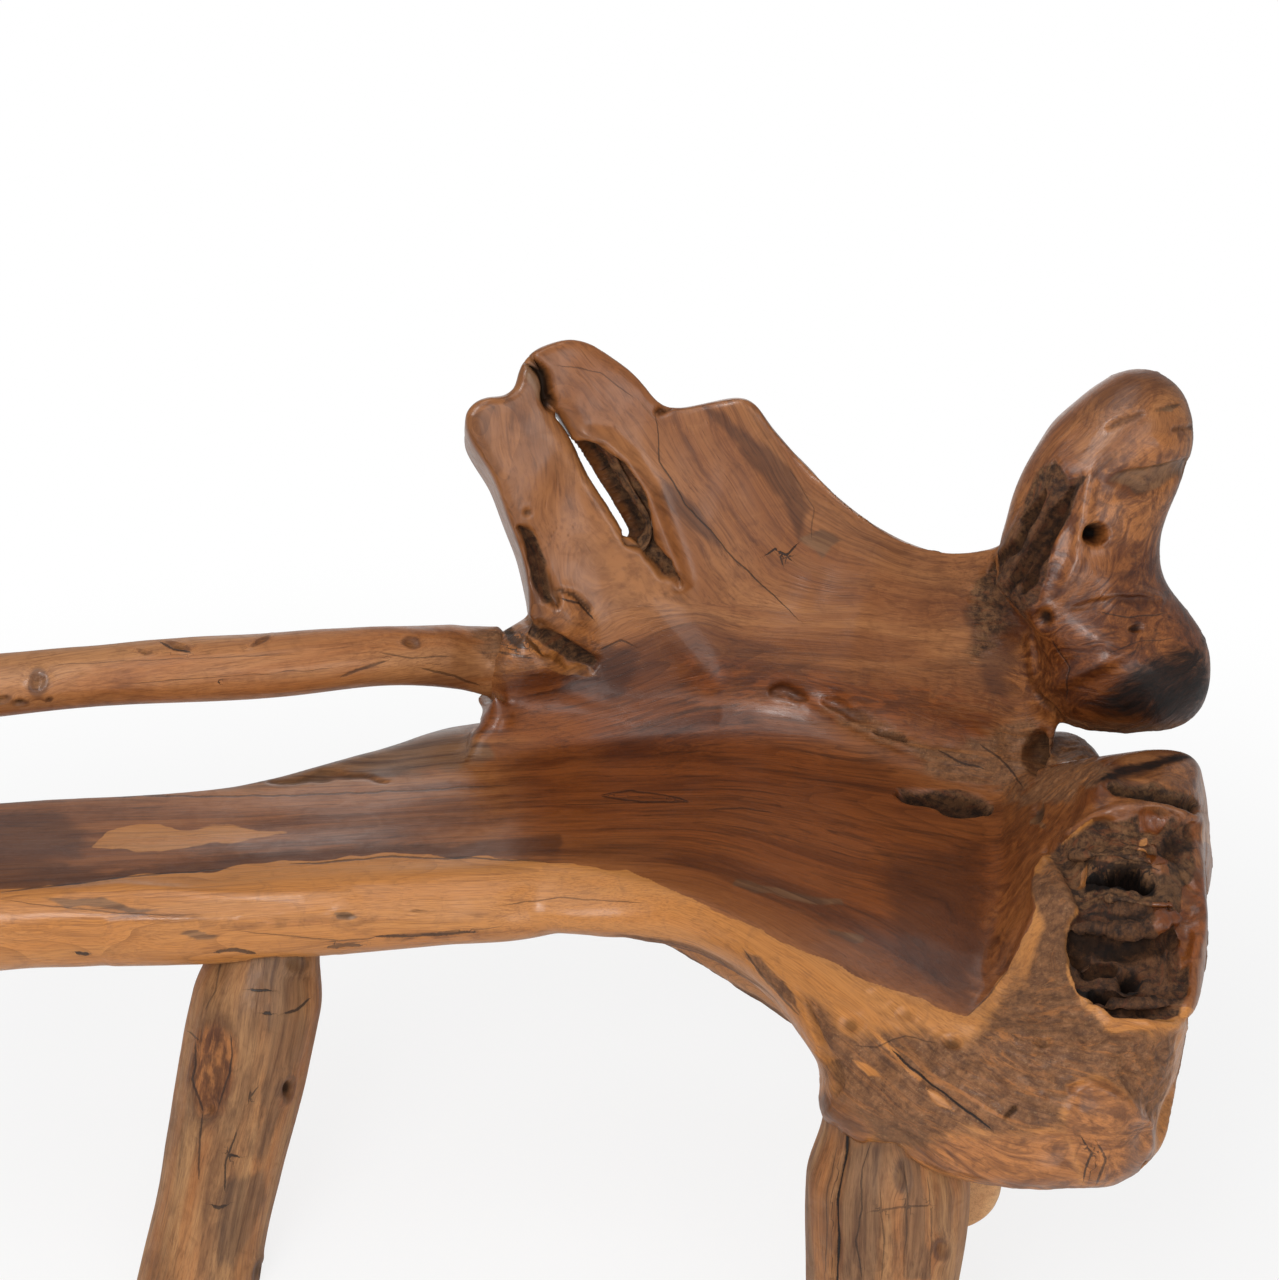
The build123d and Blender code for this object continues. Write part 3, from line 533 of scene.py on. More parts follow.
def inside_outline(pixels, outline, edge):
    """1 inside an outline and 0 outside, with a soft edge in pixels."""
    outline = np.array(outline, float)
    away = line_distance(pixels, np.vstack([outline, outline[:1]]))[0]
    inside = np.zeros(len(pixels), bool)
    for (x0, y0), (x1, y1) in zip(outline, np.roll(outline, -1, axis=0)):
        if y0 == y1:
            continue
        crosses = (y0 > pixels[:, 1]) != (y1 > pixels[:, 1])
        inside ^= crosses & (pixels[:, 0] < x0 + (pixels[:, 1] - y0) * (x1 - x0) / (y1 - y0))
    return smooth_step(np.where(inside, away, -away), -edge / 2, edge / 2)


def round_distance(pixels, centre, radii, tilt):
    """How far pixels are from the middle of a tilted ellipse, which itself lies at 1."""
    turn = math.radians(tilt)
    away = pixels - np.array(centre, float)
    across = (away[:, 0] * math.cos(turn) + away[:, 1] * math.sin(turn)) / radii[0]
    down = (away[:, 1] * math.cos(turn) - away[:, 0] * math.sin(turn)) / radii[1]
    return np.sqrt(across**2 + down**2)


class Skin:
    """The points of a mesh that is being carved, with what each point's wood is."""

    def __init__(self, mesh):
        self.mesh = mesh
        self.points = self.read("vertices", "co", 3, np.float32).astype(float)
        self.edges = self.read("edges", "vertices", 2, np.int32).astype(np.int64)
        self.count = len(self.points)
        self.links = np.bincount(self.edges.ravel(), minlength=self.count)
        self.refresh()
        self.zones = {}
        self.rough = np.zeros(self.count)

    def read(self, group, name, width, kind):
        """The values of a mesh's vertices or edges, as rows."""
        items = getattr(self.mesh, group)
        values = np.zeros(len(items) * width, kind)
        items.foreach_get(name, values)
        return values.reshape(-1, width)

    def refresh(self):
        """Writes the points back and reads the new normals."""
        self.mesh.vertices.foreach_set("co", self.points.ravel().astype(np.float32))
        self.mesh.update()
        self.normals = self.read("vertices", "normal", 3, np.float32).astype(float)

    def gather(self, values):
        """The sum of the values at the other ends of each point's edges."""
        first, second = self.edges.T
        total = np.bincount(first, values[second], self.count)
        return total + np.bincount(second, values[first], self.count)

    def spread(self, values, rounds):
        """Values averaged with their neighbours, for some rounds."""
        for _ in range(rounds):
            if values.ndim == 1:
                values = 0.5 * values + 0.5 * self.gather(values) / self.links
            else:
                total = np.stack([self.gather(column) for column in values.T], axis=1)
                values = 0.5 * values + 0.5 * total / self.links[:, None]
        return values

    def smooth(self, rounds, keep=None):
        """Evens the surface out, except where keep is 1."""
        even = self.spread(self.points, rounds)
        share = 1.0 if keep is None else (1 - keep)[:, None]
        self.points += (even - self.points) * share
        self.refresh()

    def push(self, height):
        """Moves each point along its normal by a height in metres."""
        self.points += self.normals * height[:, None]
        self.refresh()

    def look(self):
        """Finds which points the camera sees, softly, and their pixels."""
        faces = [tuple(face.vertices) for face in self.mesh.polygons]
        self.tree = BVHTree.FromPolygons([tuple(point) for point in self.points], faces)
        place = Vector(photo_axes()[0])
        facing = ((np.array(place) - self.points) * self.normals).sum(axis=1) > 0
        seen = np.zeros(self.count)
        for index in np.flatnonzero(facing):
            away = Vector(self.points[index]) - place
            hit = self.tree.ray_cast(place, away.normalized(), away.length - SIGHT_MARGIN)
            seen[index] = hit[0] is None
        self.seen = smooth_step(self.spread(seen, SEEN_EDGE[0]), *SEEN_EDGE[1:])
        self.near = smooth_step(self.spread(seen, NEAR_EDGE[0]), *NEAR_EDGE[1:])
        self.pixels = photo_pixels(self.points)

    def fray(self, seed, size):
        """The pixels, moved about unevenly, so that what is painted by them has natural edges."""
        self.frayed = self.pixels + size * self.paired_noise(FRAY_WAVE, seed, 3)

    def paired_noise(self, wave, seed, layers):
        """Two different noises at each point."""
        return np.stack([layered_noise(self.points, wave, seed + axis, layers) for axis in range(2)], axis=1)

    def draw_lines(self, lines):
        """Stores thin dark lines, some of them painted shade in slots and crevices, as signed distances,
        which the wood turns into sharp lines.
        """
        nearest = np.full(self.count, LINE_FAR)
        signed = np.full(self.count, LINE_FAR)
        reach = np.zeros(self.count)
        dark = np.zeros(self.count)
        pixels = self.pixels + LINE_SHIFT * self.paired_noise(LINE_WAVE, LINE_SEED, 2)
        for path, half_width, strength in lines:
            away, along, side = line_distance(pixels, path)
            taper = half_width * np.sqrt(np.clip(1 - (2 * along - 1) ** 4, 0.04, 1))
            closer = away - half_width < nearest - reach
            nearest[closer] = away[closer]
            signed[closer] = (side * away / taper)[closer]
            reach[closer] = half_width
            dark[closer] = strength
        near = smooth_step(nearest - reach, *LINE_FADE) * self.seen
        signed = np.clip(signed, -LINE_FAR, LINE_FAR)
        self.store("lines", np.stack([signed, near, dark], axis=1), "FLOAT_VECTOR")

    def paint(self, zone, share):
        """Marks a zone by the larger of what it has and a share."""
        held = self.zones.get(zone, np.zeros(self.count))
        self.zones[zone] = np.maximum(held, np.clip(share, 0, 1))

    def inside(self, outline, edge):
        """1 on the seen points inside an outline, with a soft and frayed edge."""
        return inside_outline(self.frayed, outline, edge) * self.seen

    def store(self, name, values, kind):
        """Writes one vector or colour for each point."""
        attribute = self.mesh.attributes.new(name, kind, "POINT")
        field = {"FLOAT_VECTOR": "vector", "FLOAT_COLOR": "color"}[kind]
        attribute.data.foreach_set(field, values.astype(np.float32).ravel())

    def store_zones(self, name, zones):
        """Writes up to four zones as the channels of one colour."""
        channels = [self.zones.get(zone, np.zeros(self.count)) for zone in zones]
        while len(channels) < 4:
            channels.append(np.ones(self.count))
        self.store(name, np.stack(channels, axis=1), "FLOAT_COLOR")


def remeshed_copy(node, name, voxel):
    """A new object with an even mesh round a node of the frame."""
    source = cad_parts[node]
    piece = bpy.data.objects.new(name, source.data.copy())
    bpy.context.scene.collection.objects.link(piece)
    piece.data.materials.clear()
    remesh = piece.modifiers.new("even mesh", "REMESH")
    remesh.mode = "VOXEL"
    remesh.voxel_size = voxel
    remesh.use_smooth_shade = True
    bpy.context.view_layer.update()
    mesh = bpy.data.meshes.new_from_object(piece.evaluated_get(bpy.context.evaluated_depsgraph_get()))
    piece.modifiers.clear()
    piece.data = mesh
    mesh.name = name
    return piece


def finish_piece(piece, skin, grain, lines, wood, slot, *nodes):
    """Stores what a carved piece's wood reads, gives it that wood and puts it in the nodes' place."""
    skin.store("grain", grain, "FLOAT_VECTOR")
    for name, zones in CHANNELS.items():
        skin.store_zones(name, zones)
    skin.draw_lines(lines)
    piece.data.shade_smooth()
    piece.data.materials.clear()
    piece.data.materials.append(wood.material)
    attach(piece, "root")
    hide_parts(*nodes)


# The names under which a mesh stores its zones, and the zones in the channels of each
CHANNELS = {
    "zones": ("sap", "bark", "skin"),
    # The deep tone is deep heartwood, and painted shade in two hollows of the arm
    "tones": ("deep_wood_and_hollow_shade", "red", "stain", "burl"),
    # The first mark is painted shade in cuts and pits, together with dark knot cores
    "marks": ("hollow", "char_and_slot_shade", "ash"),
}

# The grain field: cell and reach of a stroke in metres, how firmly the coordinates keep even along the
# grain, rounds of solving, the directions that the two coordinates follow and the third coordinate
GRAIN_CELL = 0.03
GRAIN_REACH = 0.11
GRAIN_PULL = 25.0
GRAIN_ROUNDS = 260
GRAIN_GUIDES = ((0.0, 1.0, 0.0), (0.35, 0.0, 1.0))
GRAIN_ALONG = (0.8, 0.1, 0.6)


def slopes(values):
    """The steps of a grid's values to the next cell along each axis."""
    return np.stack([np.diff(values, axis=a, append=values.take([-1], axis=a)) for a in range(3)], axis=-1)


def gathered(field):
    """The opposite of slopes: what flows into and out of each cell of a grid, summed."""
    total = np.zeros(field.shape[:3])
    for axis in range(3):
        part = np.moveaxis(field[..., axis], axis, 0).copy()
        part[-1] = 0
        back = -part
        back[1:] += part[:-1]
        total += np.moveaxis(back, 0, axis)
    return total


def stroke_directions(grid, strokes):
    """The direction of the grain in each cell, from the strokes round it."""
    tensor = np.zeros((*grid.shape, 3))
    for start, end in strokes:
        way = (end - start) / np.linalg.norm(end - start)
        near = np.exp(-(((grid - (start + end) / 2) / GRAIN_REACH) ** 2).sum(axis=-1)) + 1e-9
        tensor += near[..., None, None] * np.outer(way, way)
    return np.linalg.eigh(tensor)[1][..., 2]


def even_coordinate(grid, direction, guide):
    """A coordinate that grows along a guide but stays even along the grain, solved by conjugate gradients."""
    def stiffened(values):
        slope = slopes(values)
        slope += GRAIN_PULL * direction * (slope * direction).sum(axis=-1, keepdims=True)
        return gathered(slope)

    guide = np.array(guide)
    aim = guide - direction * (direction @ guide)[..., None]
    aim /= np.linalg.norm(aim, axis=-1, keepdims=True) + 0.05
    values = grid @ guide
    rest = gathered(aim * GRAIN_CELL) - stiffened(values)
    step = rest.copy()
    size = (rest * rest).sum()
    for _ in range(GRAIN_ROUNDS):
        pushed = stiffened(step)
        share = size / (step * pushed).sum()
        values += share * step
        rest -= share * pushed
        fresh = (rest * rest).sum()
        step = rest + step * (fresh / size)
        size = fresh
    return values


def grain_field(skin, strokes):
    """Coordinates across and along the grain at each point of a skin, from strokes along it."""
    low = skin.points.min(axis=0) - 2 * GRAIN_CELL
    shape = np.ceil((skin.points.max(axis=0) + 2 * GRAIN_CELL - low) / GRAIN_CELL).astype(int)
    cells = np.meshgrid(*[np.arange(n) for n in shape], indexing="ij")
    grid = np.stack(cells, axis=-1) * GRAIN_CELL + low
    direction = stroke_directions(grid, strokes)
    fields = [even_coordinate(grid, direction, guide) for guide in GRAIN_GUIDES]
    fields.append(grid @ np.array(GRAIN_ALONG))
    place = (skin.points - low) / GRAIN_CELL
    corner = np.floor(place).astype(int)
    share = place - corner
    result = np.zeros((skin.count, 3))
    for step in np.ndindex(2, 2, 2):
        weight = np.prod(np.where(step, share, 1 - share), axis=1)
        x, y, z = (corner + np.array(step)).T
        result += weight[:, None] * np.stack([field[x, y, z] for field in fields], axis=1)
    return result


class Wood:
    """A small builder for procedural materials: short calls make nodes and join them."""

    def __init__(self, name):
        self.material = bpy.data.materials.new(name)
        self.material.use_nodes = True
        self.tree = self.material.node_tree
        self.tree.nodes.clear()
        self.output = self.tree.nodes.new("ShaderNodeOutputMaterial")
        self.shader = self.tree.nodes.new("ShaderNodeBsdfPrincipled")
        self.join(self.shader.outputs["BSDF"], self.output.inputs["Surface"])

    def join(self, source, target):
        """Links an output to an input."""
        self.tree.links.new(source, target)

    def feed(self, target, value):
        """Puts a socket's output or a plain value into an input."""
        if isinstance(value, bpy.types.NodeSocket):
            self.join(value, target)
        else:
            target.default_value = value

    def put(self, name, value):
        """Sets one of the shader's inputs."""
        self.feed(self.shader.inputs[name], value)

    def attribute(self, name):
        """The node that reads what the mesh stores under a name."""
        node = self.tree.nodes.new("ShaderNodeAttribute")
        node.attribute_name = name
        return node

    def place(self):
        """Where a point is on the piece."""
        return self.tree.nodes.new("ShaderNodeTexCoord").outputs["Object"]

    def split(self, colour):
        """The three channels of a colour."""
        node = self.tree.nodes.new("ShaderNodeSeparateColor")
        self.feed(node.inputs["Color"], colour)
        return node.outputs["Red"], node.outputs["Green"], node.outputs["Blue"]

    def math(self, operation, first, second=0.0, clamp=False):
        """A calculation with one or two values."""
        node = self.tree.nodes.new("ShaderNodeMath")
        node.operation = operation
        node.use_clamp = clamp
        self.feed(node.inputs[0], first)
        self.feed(node.inputs[1], second)
        return node.outputs["Value"]

    def times(self, first, second):
        return self.math("MULTIPLY", first, second)

    def plus(self, first, second, clamp=False):
        return self.math("ADD", first, second, clamp)

    def minus(self, first, second):
        return self.math("SUBTRACT", first, second)

    def stretched(self, vector, scale):
        """A place that is scaled by its own number on each axis."""
        node = self.tree.nodes.new("ShaderNodeMapping")
        self.feed(node.inputs["Vector"], vector)
        node.inputs["Scale"].default_value = scale
        return node.outputs["Vector"]

    def noise(self, vector, scale=1.0, detail=3.0, roughness=0.5, distortion=0.0):
        """Cloudy values from 0 to 1."""
        node = self.tree.nodes.new("ShaderNodeTexNoise")
        self.feed(node.inputs["Vector"], vector)
        node.inputs["Scale"].default_value = scale
        node.inputs["Detail"].default_value = detail
        node.inputs["Roughness"].default_value = roughness
        node.inputs["Distortion"].default_value = distortion
        return node.outputs["Fac"]

    def cells(self, vector):
        """The distance from the middle of the nearest of many scattered cells."""
        node = self.tree.nodes.new("ShaderNodeTexVoronoi")
        self.feed(node.inputs["Vector"], vector)
        node.inputs["Scale"].default_value = 1.0
        return node.outputs["Distance"]

    def ramp(self, value, low, high, start=0.0, end=1.0):
        """A smooth change from start to end as the value goes from low to high."""
        node = self.tree.nodes.new("ShaderNodeMapRange")
        node.interpolation_type = "SMOOTHSTEP"
        self.feed(node.inputs["Value"], value)
        node.inputs["From Min"].default_value = low
        node.inputs["From Max"].default_value = high
        node.inputs["To Min"].default_value = start
        node.inputs["To Max"].default_value = end
        return node.outputs["Result"]

    def mix(self, share, first, second, blend="MIX"):
        """The first colour, changed into the second by a share."""
        node = self.tree.nodes.new("ShaderNodeMix")
        node.data_type = "RGBA"
        node.blend_type = blend
        self.feed(node.inputs[0], share)
        self.feed(node.inputs[6], first)
        self.feed(node.inputs[7], second)
        return node.outputs[2]

    def darkened(self, share, colour, tint):
        """A colour that is multiplied by a tint where the share is 1."""
        return self.mix(share, colour, self.mix(1.0, colour, tint, "MULTIPLY"))

    def bump(self, height, distance, strength=1.0):
        """A normal that follows a height, whose unit is a distance in metres."""
        node = self.tree.nodes.new("ShaderNodeBump")
        node.inputs["Distance"].default_value = distance
        node.inputs["Strength"].default_value = strength
        self.feed(node.inputs["Height"], height)
        return node.outputs["Normal"]


def linear(colour):
    """A screen colour from 0 to 255 as the linear colour that shaders take."""
    shares = [channel / 255 for channel in colour]
    return (*[s / 12.92 if s <= 0.04045 else ((s + 0.055) / 1.055) ** 2.4 for s in shares], 1.0)


# Noise along the grain: its waves in a metre across, across and along, then detail, roughness and distortion
GRAIN_PATTERNS = {
    "bands": ((24, 24, 2.6), 5.0, 0.58, 0.8),
    "figure": ((15, 15, 1.5), 2.0, 0.42, 0.6),
    "fibres": ((1000, 1000, 24), 4.0, 0.65, 0.0),
    "threads": ((430, 430, 11), 4.0, 0.62, 0.3),
    "streaks": ((170, 170, 6), 4.0, 0.60, 0.4),
    "cloud": ((9, 9, 4), 4.0, 0.60, 0.8),
    "ragged": ((70, 70, 16), 6.0, 0.68, 0.5),
    "curls": ((52, 52, 20), 6.0, 0.60, 2.4),
    "flakes": ((210, 210, 24), 5.0, 0.70, 1.0),
}

# Noise without a direction: its waves in a metre, then detail, roughness and distortion
EVEN_PATTERNS = {
    "mottle": (42.0, 6.0, 0.62, 1.2),
    "grit": (330.0, 6.0, 0.78, 0.2),
    "lumps": (95.0, 8.0, 0.72, 0.1),
}

PORE_WAVES = (700, 700, 36)
RINGS_IN_FIGURE = 22.0
VEINS_IN_CURLS = 9.0

# Each zone's edge: the pattern that frays it, how far, and between which shares it fades
ZONE_EDGES = {
    "red": ("mottle", 1.2, 0.25, 0.75),
    "stain": ("ragged", 1.1, 0.25, 0.85),
    "sap": ("ragged", 0.8, 0.42, 0.58),
    "burl": ("ragged", 1.2, 0.15, 0.85),
    "skin": ("ragged", 1.7, 0.22, 0.78),
    "bark": ("ragged", 1.3, 0.25, 0.75),
    "ash": ("ragged", 1.3, 0.20, 0.80),
    "char_and_slot_shade": ("ragged", 1.5, 0.20, 0.90),
}

# Each zone's paint: how much it covers and its screen colour, then the layers over that colour, each as the
# pattern that shows it, between which of its values, how much, and the layer's screen colour
ZONE_PAINT = {
    "deep_wood_and_hollow_shade": (1.0, (90, 41, 12), [
        ("bands", 0.36, 0.62, 1.00, (138, 72, 28)),
        ("streaks", 0.50, 0.70, 0.70, (48, 20, 6)),
        ("threads", 0.52, 0.68, 0.45, (46, 19, 6)),
        ("cloud", 0.54, 0.38, 0.55, (150, 84, 36)),
    ]),
    "red": (0.60, (150, 78, 28), [("curls", 0.40, 0.60, 1.00, (84, 38, 14))]),
    "stain": (0.62, (66, 31, 14), []),
    "burl": (0.80, (96, 48, 18), [
        ("curls", 0.36, 0.62, 1.00, (186, 118, 62)),
        ("mottle", 0.46, 0.66, 0.65, (78, 38, 16)),
        ("cloud", 0.52, 0.72, 0.55, (58, 27, 12)),
        ("veins", 0.10, 0.00, 0.28, (44, 20, 9)),
        ("streaks", 0.54, 0.74, 0.60, (50, 24, 11)),
    ]),
    "skin": (1.0, (100, 64, 38), [
        ("lumps", 0.34, 0.66, 1.00, (148, 100, 62)),
        ("flakes", 0.52, 0.70, 0.60, (160, 98, 50)),
        ("streaks", 0.54, 0.68, 0.65, (180, 114, 58)),
        ("threads", 0.50, 0.66, 0.55, (76, 46, 28)),
        ("cloud", 0.50, 0.70, 0.50, (108, 76, 50)),
        ("curls", 0.52, 0.66, 0.45, (84, 50, 30)),
        ("grit", 0.53, 0.72, 0.75, (58, 38, 26)),
        ("grit", 0.45, 0.30, 0.50, (186, 146, 102)),
    ]),
    "bark": (1.0, (54, 34, 20), [
        ("lumps", 0.36, 0.62, 1.00, (132, 92, 58)),
        ("flakes", 0.50, 0.68, 0.70, (126, 68, 34)),
        ("cloud", 0.50, 0.70, 0.50, (58, 38, 24)),
        ("threads", 0.50, 0.66, 0.60, (36, 20, 12)),
    ]),
    "ash": (0.75, (134, 99, 68), [("streaks", 0.35, 0.65, 1.00, (82, 56, 38))]),
    # Near-black of scorched wood, also used as painted shade in a slot
    "char_and_slot_shade": (0.97, (10, 6, 5), [("flakes", 0.40, 0.70, 1.00, (44, 22, 12))]),
}
BARK_GRIT = [("grit", 0.54, 0.74, 0.75, (22, 14, 10)), ("grit", 0.42, 0.28, 0.50, (146, 118, 90))]
SAP_BANDS = (196, 122, 52)
SAP_LAYERS = [
    ("threads", 0.54, 0.72, 0.35, (150, 92, 46)),
    ("streaks", 0.54, 0.78, 0.55, (138, 84, 44)),
    ("mottle", 0.52, 0.72, 0.40, (150, 98, 56)),
]
# Near-black painted shade at the bottoms of cuts and pits, also used for dark knot cores
HOLLOW_SHADE_AND_KNOT_PAINT = (14, 8, 5)
# Dark lines, and painted shade in slots and crevices
LINE_AND_SLOT_SHADE_PAINT = (22, 12, 7)

# What darker wood multiplies the colour by; on burl and bark the deep tone also paints shade in two hollows
DEEP_BURL_TINT = (0.42, 0.30, 0.22, 1.0)
DEEP_BARK_TINT = (0.50, 0.38, 0.30, 1.0)
FIBRE_TINT = (0.42, 0.34, 0.28, 1.0)
PORE_TINT = (0.30, 0.24, 0.20, 1.0)

# Height of the finest relief in metres, and the varnish
RELIEF = 0.0007
RELIEF_STRENGTH = 0.6
VARNISH_ROUGHNESS = 0.14
WOOD_SPECULAR = 0.42


class Teak(Wood):
    """Teak with growth bands, fibres and pores along the grain, and the zones that its surface has."""

    def __init__(self, name, colours, polish, rings=0.6, gloss=0.22):
        super().__init__(name)
        self.dark, self.middle, self.light, self.sap = colours
        self.make_patterns()
        self.read_zones()
        colour = self.heartwood()
        colour = self.with_rings(self.with_sapwood(colour), rings)
        colour = self.with_burl(colour)
        colour = self.with_bark(self.cover(colour, "skin"))
        # Ash, then scorched wood with painted shade in a slot
        colour = self.cover(self.cover(colour, "ash"), "char_and_slot_shade")
        # Painted shade in cuts and pits, and dark knot cores
        colour = self.mix(self.raw["hollow"], colour, linear(HOLLOW_SHADE_AND_KNOT_PAINT))
        line = self.line_share()
        # Dark lines, with painted shade in slots and crevices
        colour = self.mix(line, colour, linear(LINE_AND_SLOT_SHADE_PAINT))
        self.put("Base Color", self.with_fibres(colour))
        self.set_finish(polish, gloss)
        self.put("Normal", self.bump(self.relief(line), RELIEF, RELIEF_STRENGTH))

    def make_patterns(self):
        """The noises that the colours and the relief share."""
        grain = self.attribute("grain").outputs["Vector"]
        place = self.place()
        self.patterns = {}
        for name, (waves, *kind) in GRAIN_PATTERNS.items():
            self.patterns[name] = self.noise(self.stretched(grain, waves), 1.0, *kind)
        for name, kind in EVEN_PATTERNS.items():
            self.patterns[name] = self.noise(place, *kind)
        rings = self.math("FRACT", self.times(self.patterns["figure"], RINGS_IN_FIGURE))
        self.patterns["rings"] = self.math("POWER", rings, 3.0)
        veins = self.math("FRACT", self.times(self.patterns["curls"], VEINS_IN_CURLS))
        self.patterns["veins"] = self.math("ABSOLUTE", self.minus(veins, 0.5))
        pores = self.cells(self.stretched(grain, PORE_WAVES))
        self.patterns["pores"] = self.ramp(pores, 0.06, 0.26, 1.0, 0.0)

    def read_zones(self):
        """The share of each zone that the mesh stores, and the same with a crisp but ragged edge."""
        self.raw = {}
        for name, zones in CHANNELS.items():
            node = self.attribute(name)
            channels = (*self.split(node.outputs["Color"]), node.outputs["Alpha"])
            self.raw.update(zip(zones, channels))
        self.share = {}
        for zone, (pattern, loose, low, high) in ZONE_EDGES.items():
            fray = self.times(self.minus(self.patterns[pattern], 0.5), loose)
            self.share[zone] = self.ramp(self.plus(self.raw[zone], fray), low, high)
        self.rough = self.plus(self.share["bark"], self.times(self.share["skin"], 0.75), clamp=True)
        self.shaded = self.math("MAXIMUM", self.raw["hollow"], self.times(self.share["char_and_slot_shade"], 0.5))

    def layered(self, colour, layers):
        """A colour with layers of other screen colours over it."""
        for pattern, low, high, share, tone in layers:
            colour = self.mix(self.ramp(self.patterns[pattern], low, high, 0.0, share), colour, linear(tone))
        return colour

    def paint(self, zone):
        """A zone's own colour, with its layers."""
        return self.layered(linear(ZONE_PAINT[zone][1]), ZONE_PAINT[zone][2])

    def cover(self, colour, zone):
        """A colour with a zone's paint over it."""
        return self.mix(self.times(self.share[zone], ZONE_PAINT[zone][0]), colour, self.paint(zone))

    def heartwood(self):
        """The polished wood of the inner log, with its deep parts, which also paint shade in two hollows, and
        its reddish and stained parts.
        """
        colour = self.layered(linear(self.middle), [
            ("bands", 0.36, 0.64, 1.00, self.light),
            ("cloud", 0.44, 0.70, 0.75, self.dark),
            ("streaks", 0.50, 0.72, 0.50, self.dark),
            ("mottle", 0.50, 0.70, 0.25, self.dark),
            ("mottle", 0.46, 0.30, 0.25, self.light),
            ("threads", 0.50, 0.68, 0.40, self.dark),
        ])
        clouded = self.ramp(self.patterns["cloud"], 0.75, 0.45, 0.7, 1.0)
        # Deep heartwood, which also paints shade in two hollows
        colour = self.mix(self.times(self.raw["deep_wood_and_hollow_shade"], clouded), colour, self.paint("deep_wood_and_hollow_shade"))
        return self.cover(self.cover(colour, "red"), "stain")

    def with_sapwood(self, colour):
        """Adds the pale wood under the bark."""
        sap = linear(self.sap)
        banded = self.mix(0.5, sap, linear(SAP_BANDS))
        pale = self.mix(self.ramp(self.patterns["bands"], 0.34, 0.66), sap, banded)
        return self.mix(self.share["sap"], colour, self.layered(pale, SAP_LAYERS))

    def with_rings(self, colour, strength):
        """Darkens the colour along the growth rings."""
        clouded = self.ramp(self.patterns["cloud"], 0.40, 0.62, 0.25 * strength, strength)
        ringed = self.mix(0.6, colour, linear(self.dark), "MULTIPLY")
        return self.mix(self.times(self.patterns["rings"], clouded), colour, ringed)

    def with_burl(self, colour):
        """Adds the swirling burl, darker in the deep parts, which also paint shade in two hollows."""
        clouded = self.ramp(self.patterns["cloud"], 0.38, 0.62, 0.45, 0.9)
        burl = self.darkened(self.times(self.raw["deep_wood_and_hollow_shade"], clouded), self.paint("burl"), DEEP_BURL_TINT)
        return self.mix(self.times(self.share["burl"], ZONE_PAINT["burl"][0]), colour, burl)

    def with_bark(self, colour):
        """Adds the rough bark, darker in the deep parts, which also paint shade in two hollows."""
        bark = self.darkened(self.times(self.raw["deep_wood_and_hollow_shade"], 0.8), self.paint("bark"), DEEP_BARK_TINT)
        return self.mix(self.share["bark"], colour, self.layered(bark, BARK_GRIT))

    def line_share(self):
        """Where the thin cracks and dark lines are, with the painted shade of slots and crevices, from their
        stored distances, with a slight wobble.
        """
        lines = self.tree.nodes.new("ShaderNodeSeparateXYZ")
        self.feed(lines.inputs["Vector"], self.attribute("lines").outputs["Vector"])
        wobble = self.times(self.minus(self.patterns["grit"], 0.5), 2.4)
        away = self.math("ABSOLUTE", self.plus(lines.outputs["X"], wobble))
        near = self.times(self.ramp(away, 1.3, 0.6), lines.outputs["Y"])
        return self.times(near, lines.outputs["Z"])

    def with_fibres(self, colour):
        """Darkens the smooth wood along its fibres, and all of it in its pores."""
        fibres = self.ramp(self.patterns["fibres"], 0.42, 0.70, 0.0, 0.5)
        colour = self.darkened(self.times(fibres, self.minus(1.0, self.rough)), colour, FIBRE_TINT)
        return self.darkened(self.times(self.patterns["pores"], 0.30), colour, PORE_TINT)

    def set_finish(self, polish, gloss):
        """The polish and varnish, dull on rough and scorched wood."""
        smooth = self.times(self.minus(1.0, self.rough), self.minus(1.0, self.shaded))
        roughness = self.ramp(self.patterns["mottle"], 0.35, 0.65, polish, polish + 0.12)
        roughness = self.plus(roughness, self.times(self.rough, 0.45))
        self.put("Roughness", self.plus(roughness, self.times(self.shaded, 0.4), clamp=True))
        self.put("Coat Weight", self.times(smooth, gloss))
        self.put("Coat Roughness", VARNISH_ROUGHNESS)
        self.put("Specular IOR Level", self.minus(WOOD_SPECULAR, self.times(self.shaded, 0.3)))

    def relief(self, line):
        """The height of the fibres, pores, streaks, burl, cracks and rough lumps."""
        patterns = self.patterns
        rough = self.plus(self.times(patterns["lumps"], 3.2), self.times(patterns["grit"], 2.0))
        height = self.minus(self.times(patterns["fibres"], 0.45), self.times(patterns["pores"], 0.35))
        height = self.plus(height, self.times(rough, self.rough))
        height = self.plus(height, self.times(patterns["streaks"], 0.5))
        height = self.plus(height, self.times(self.times(patterns["curls"], self.share["burl"]), 3.0))
        return self.minus(height, self.times(line, 2.0))


def zinc_metal():
    """Dull plated steel with fine blotches."""
    zinc = Wood("zinc plated steel")
    blotch = zinc.noise(zinc.place(), 160.0, 4.0, 0.6)
    shade = zinc.ramp(blotch, 0.35, 0.65)
    zinc.put("Base Color", zinc.mix(shade, linear((150, 150, 146)), linear((196, 196, 190))))
    zinc.put("Roughness", zinc.ramp(blotch, 0.3, 0.7, 0.32, 0.5))
    zinc.put("Normal", zinc.bump(blotch, 0.0002, 0.4))
    zinc.put("Metallic", 1.0)
    return zinc.material


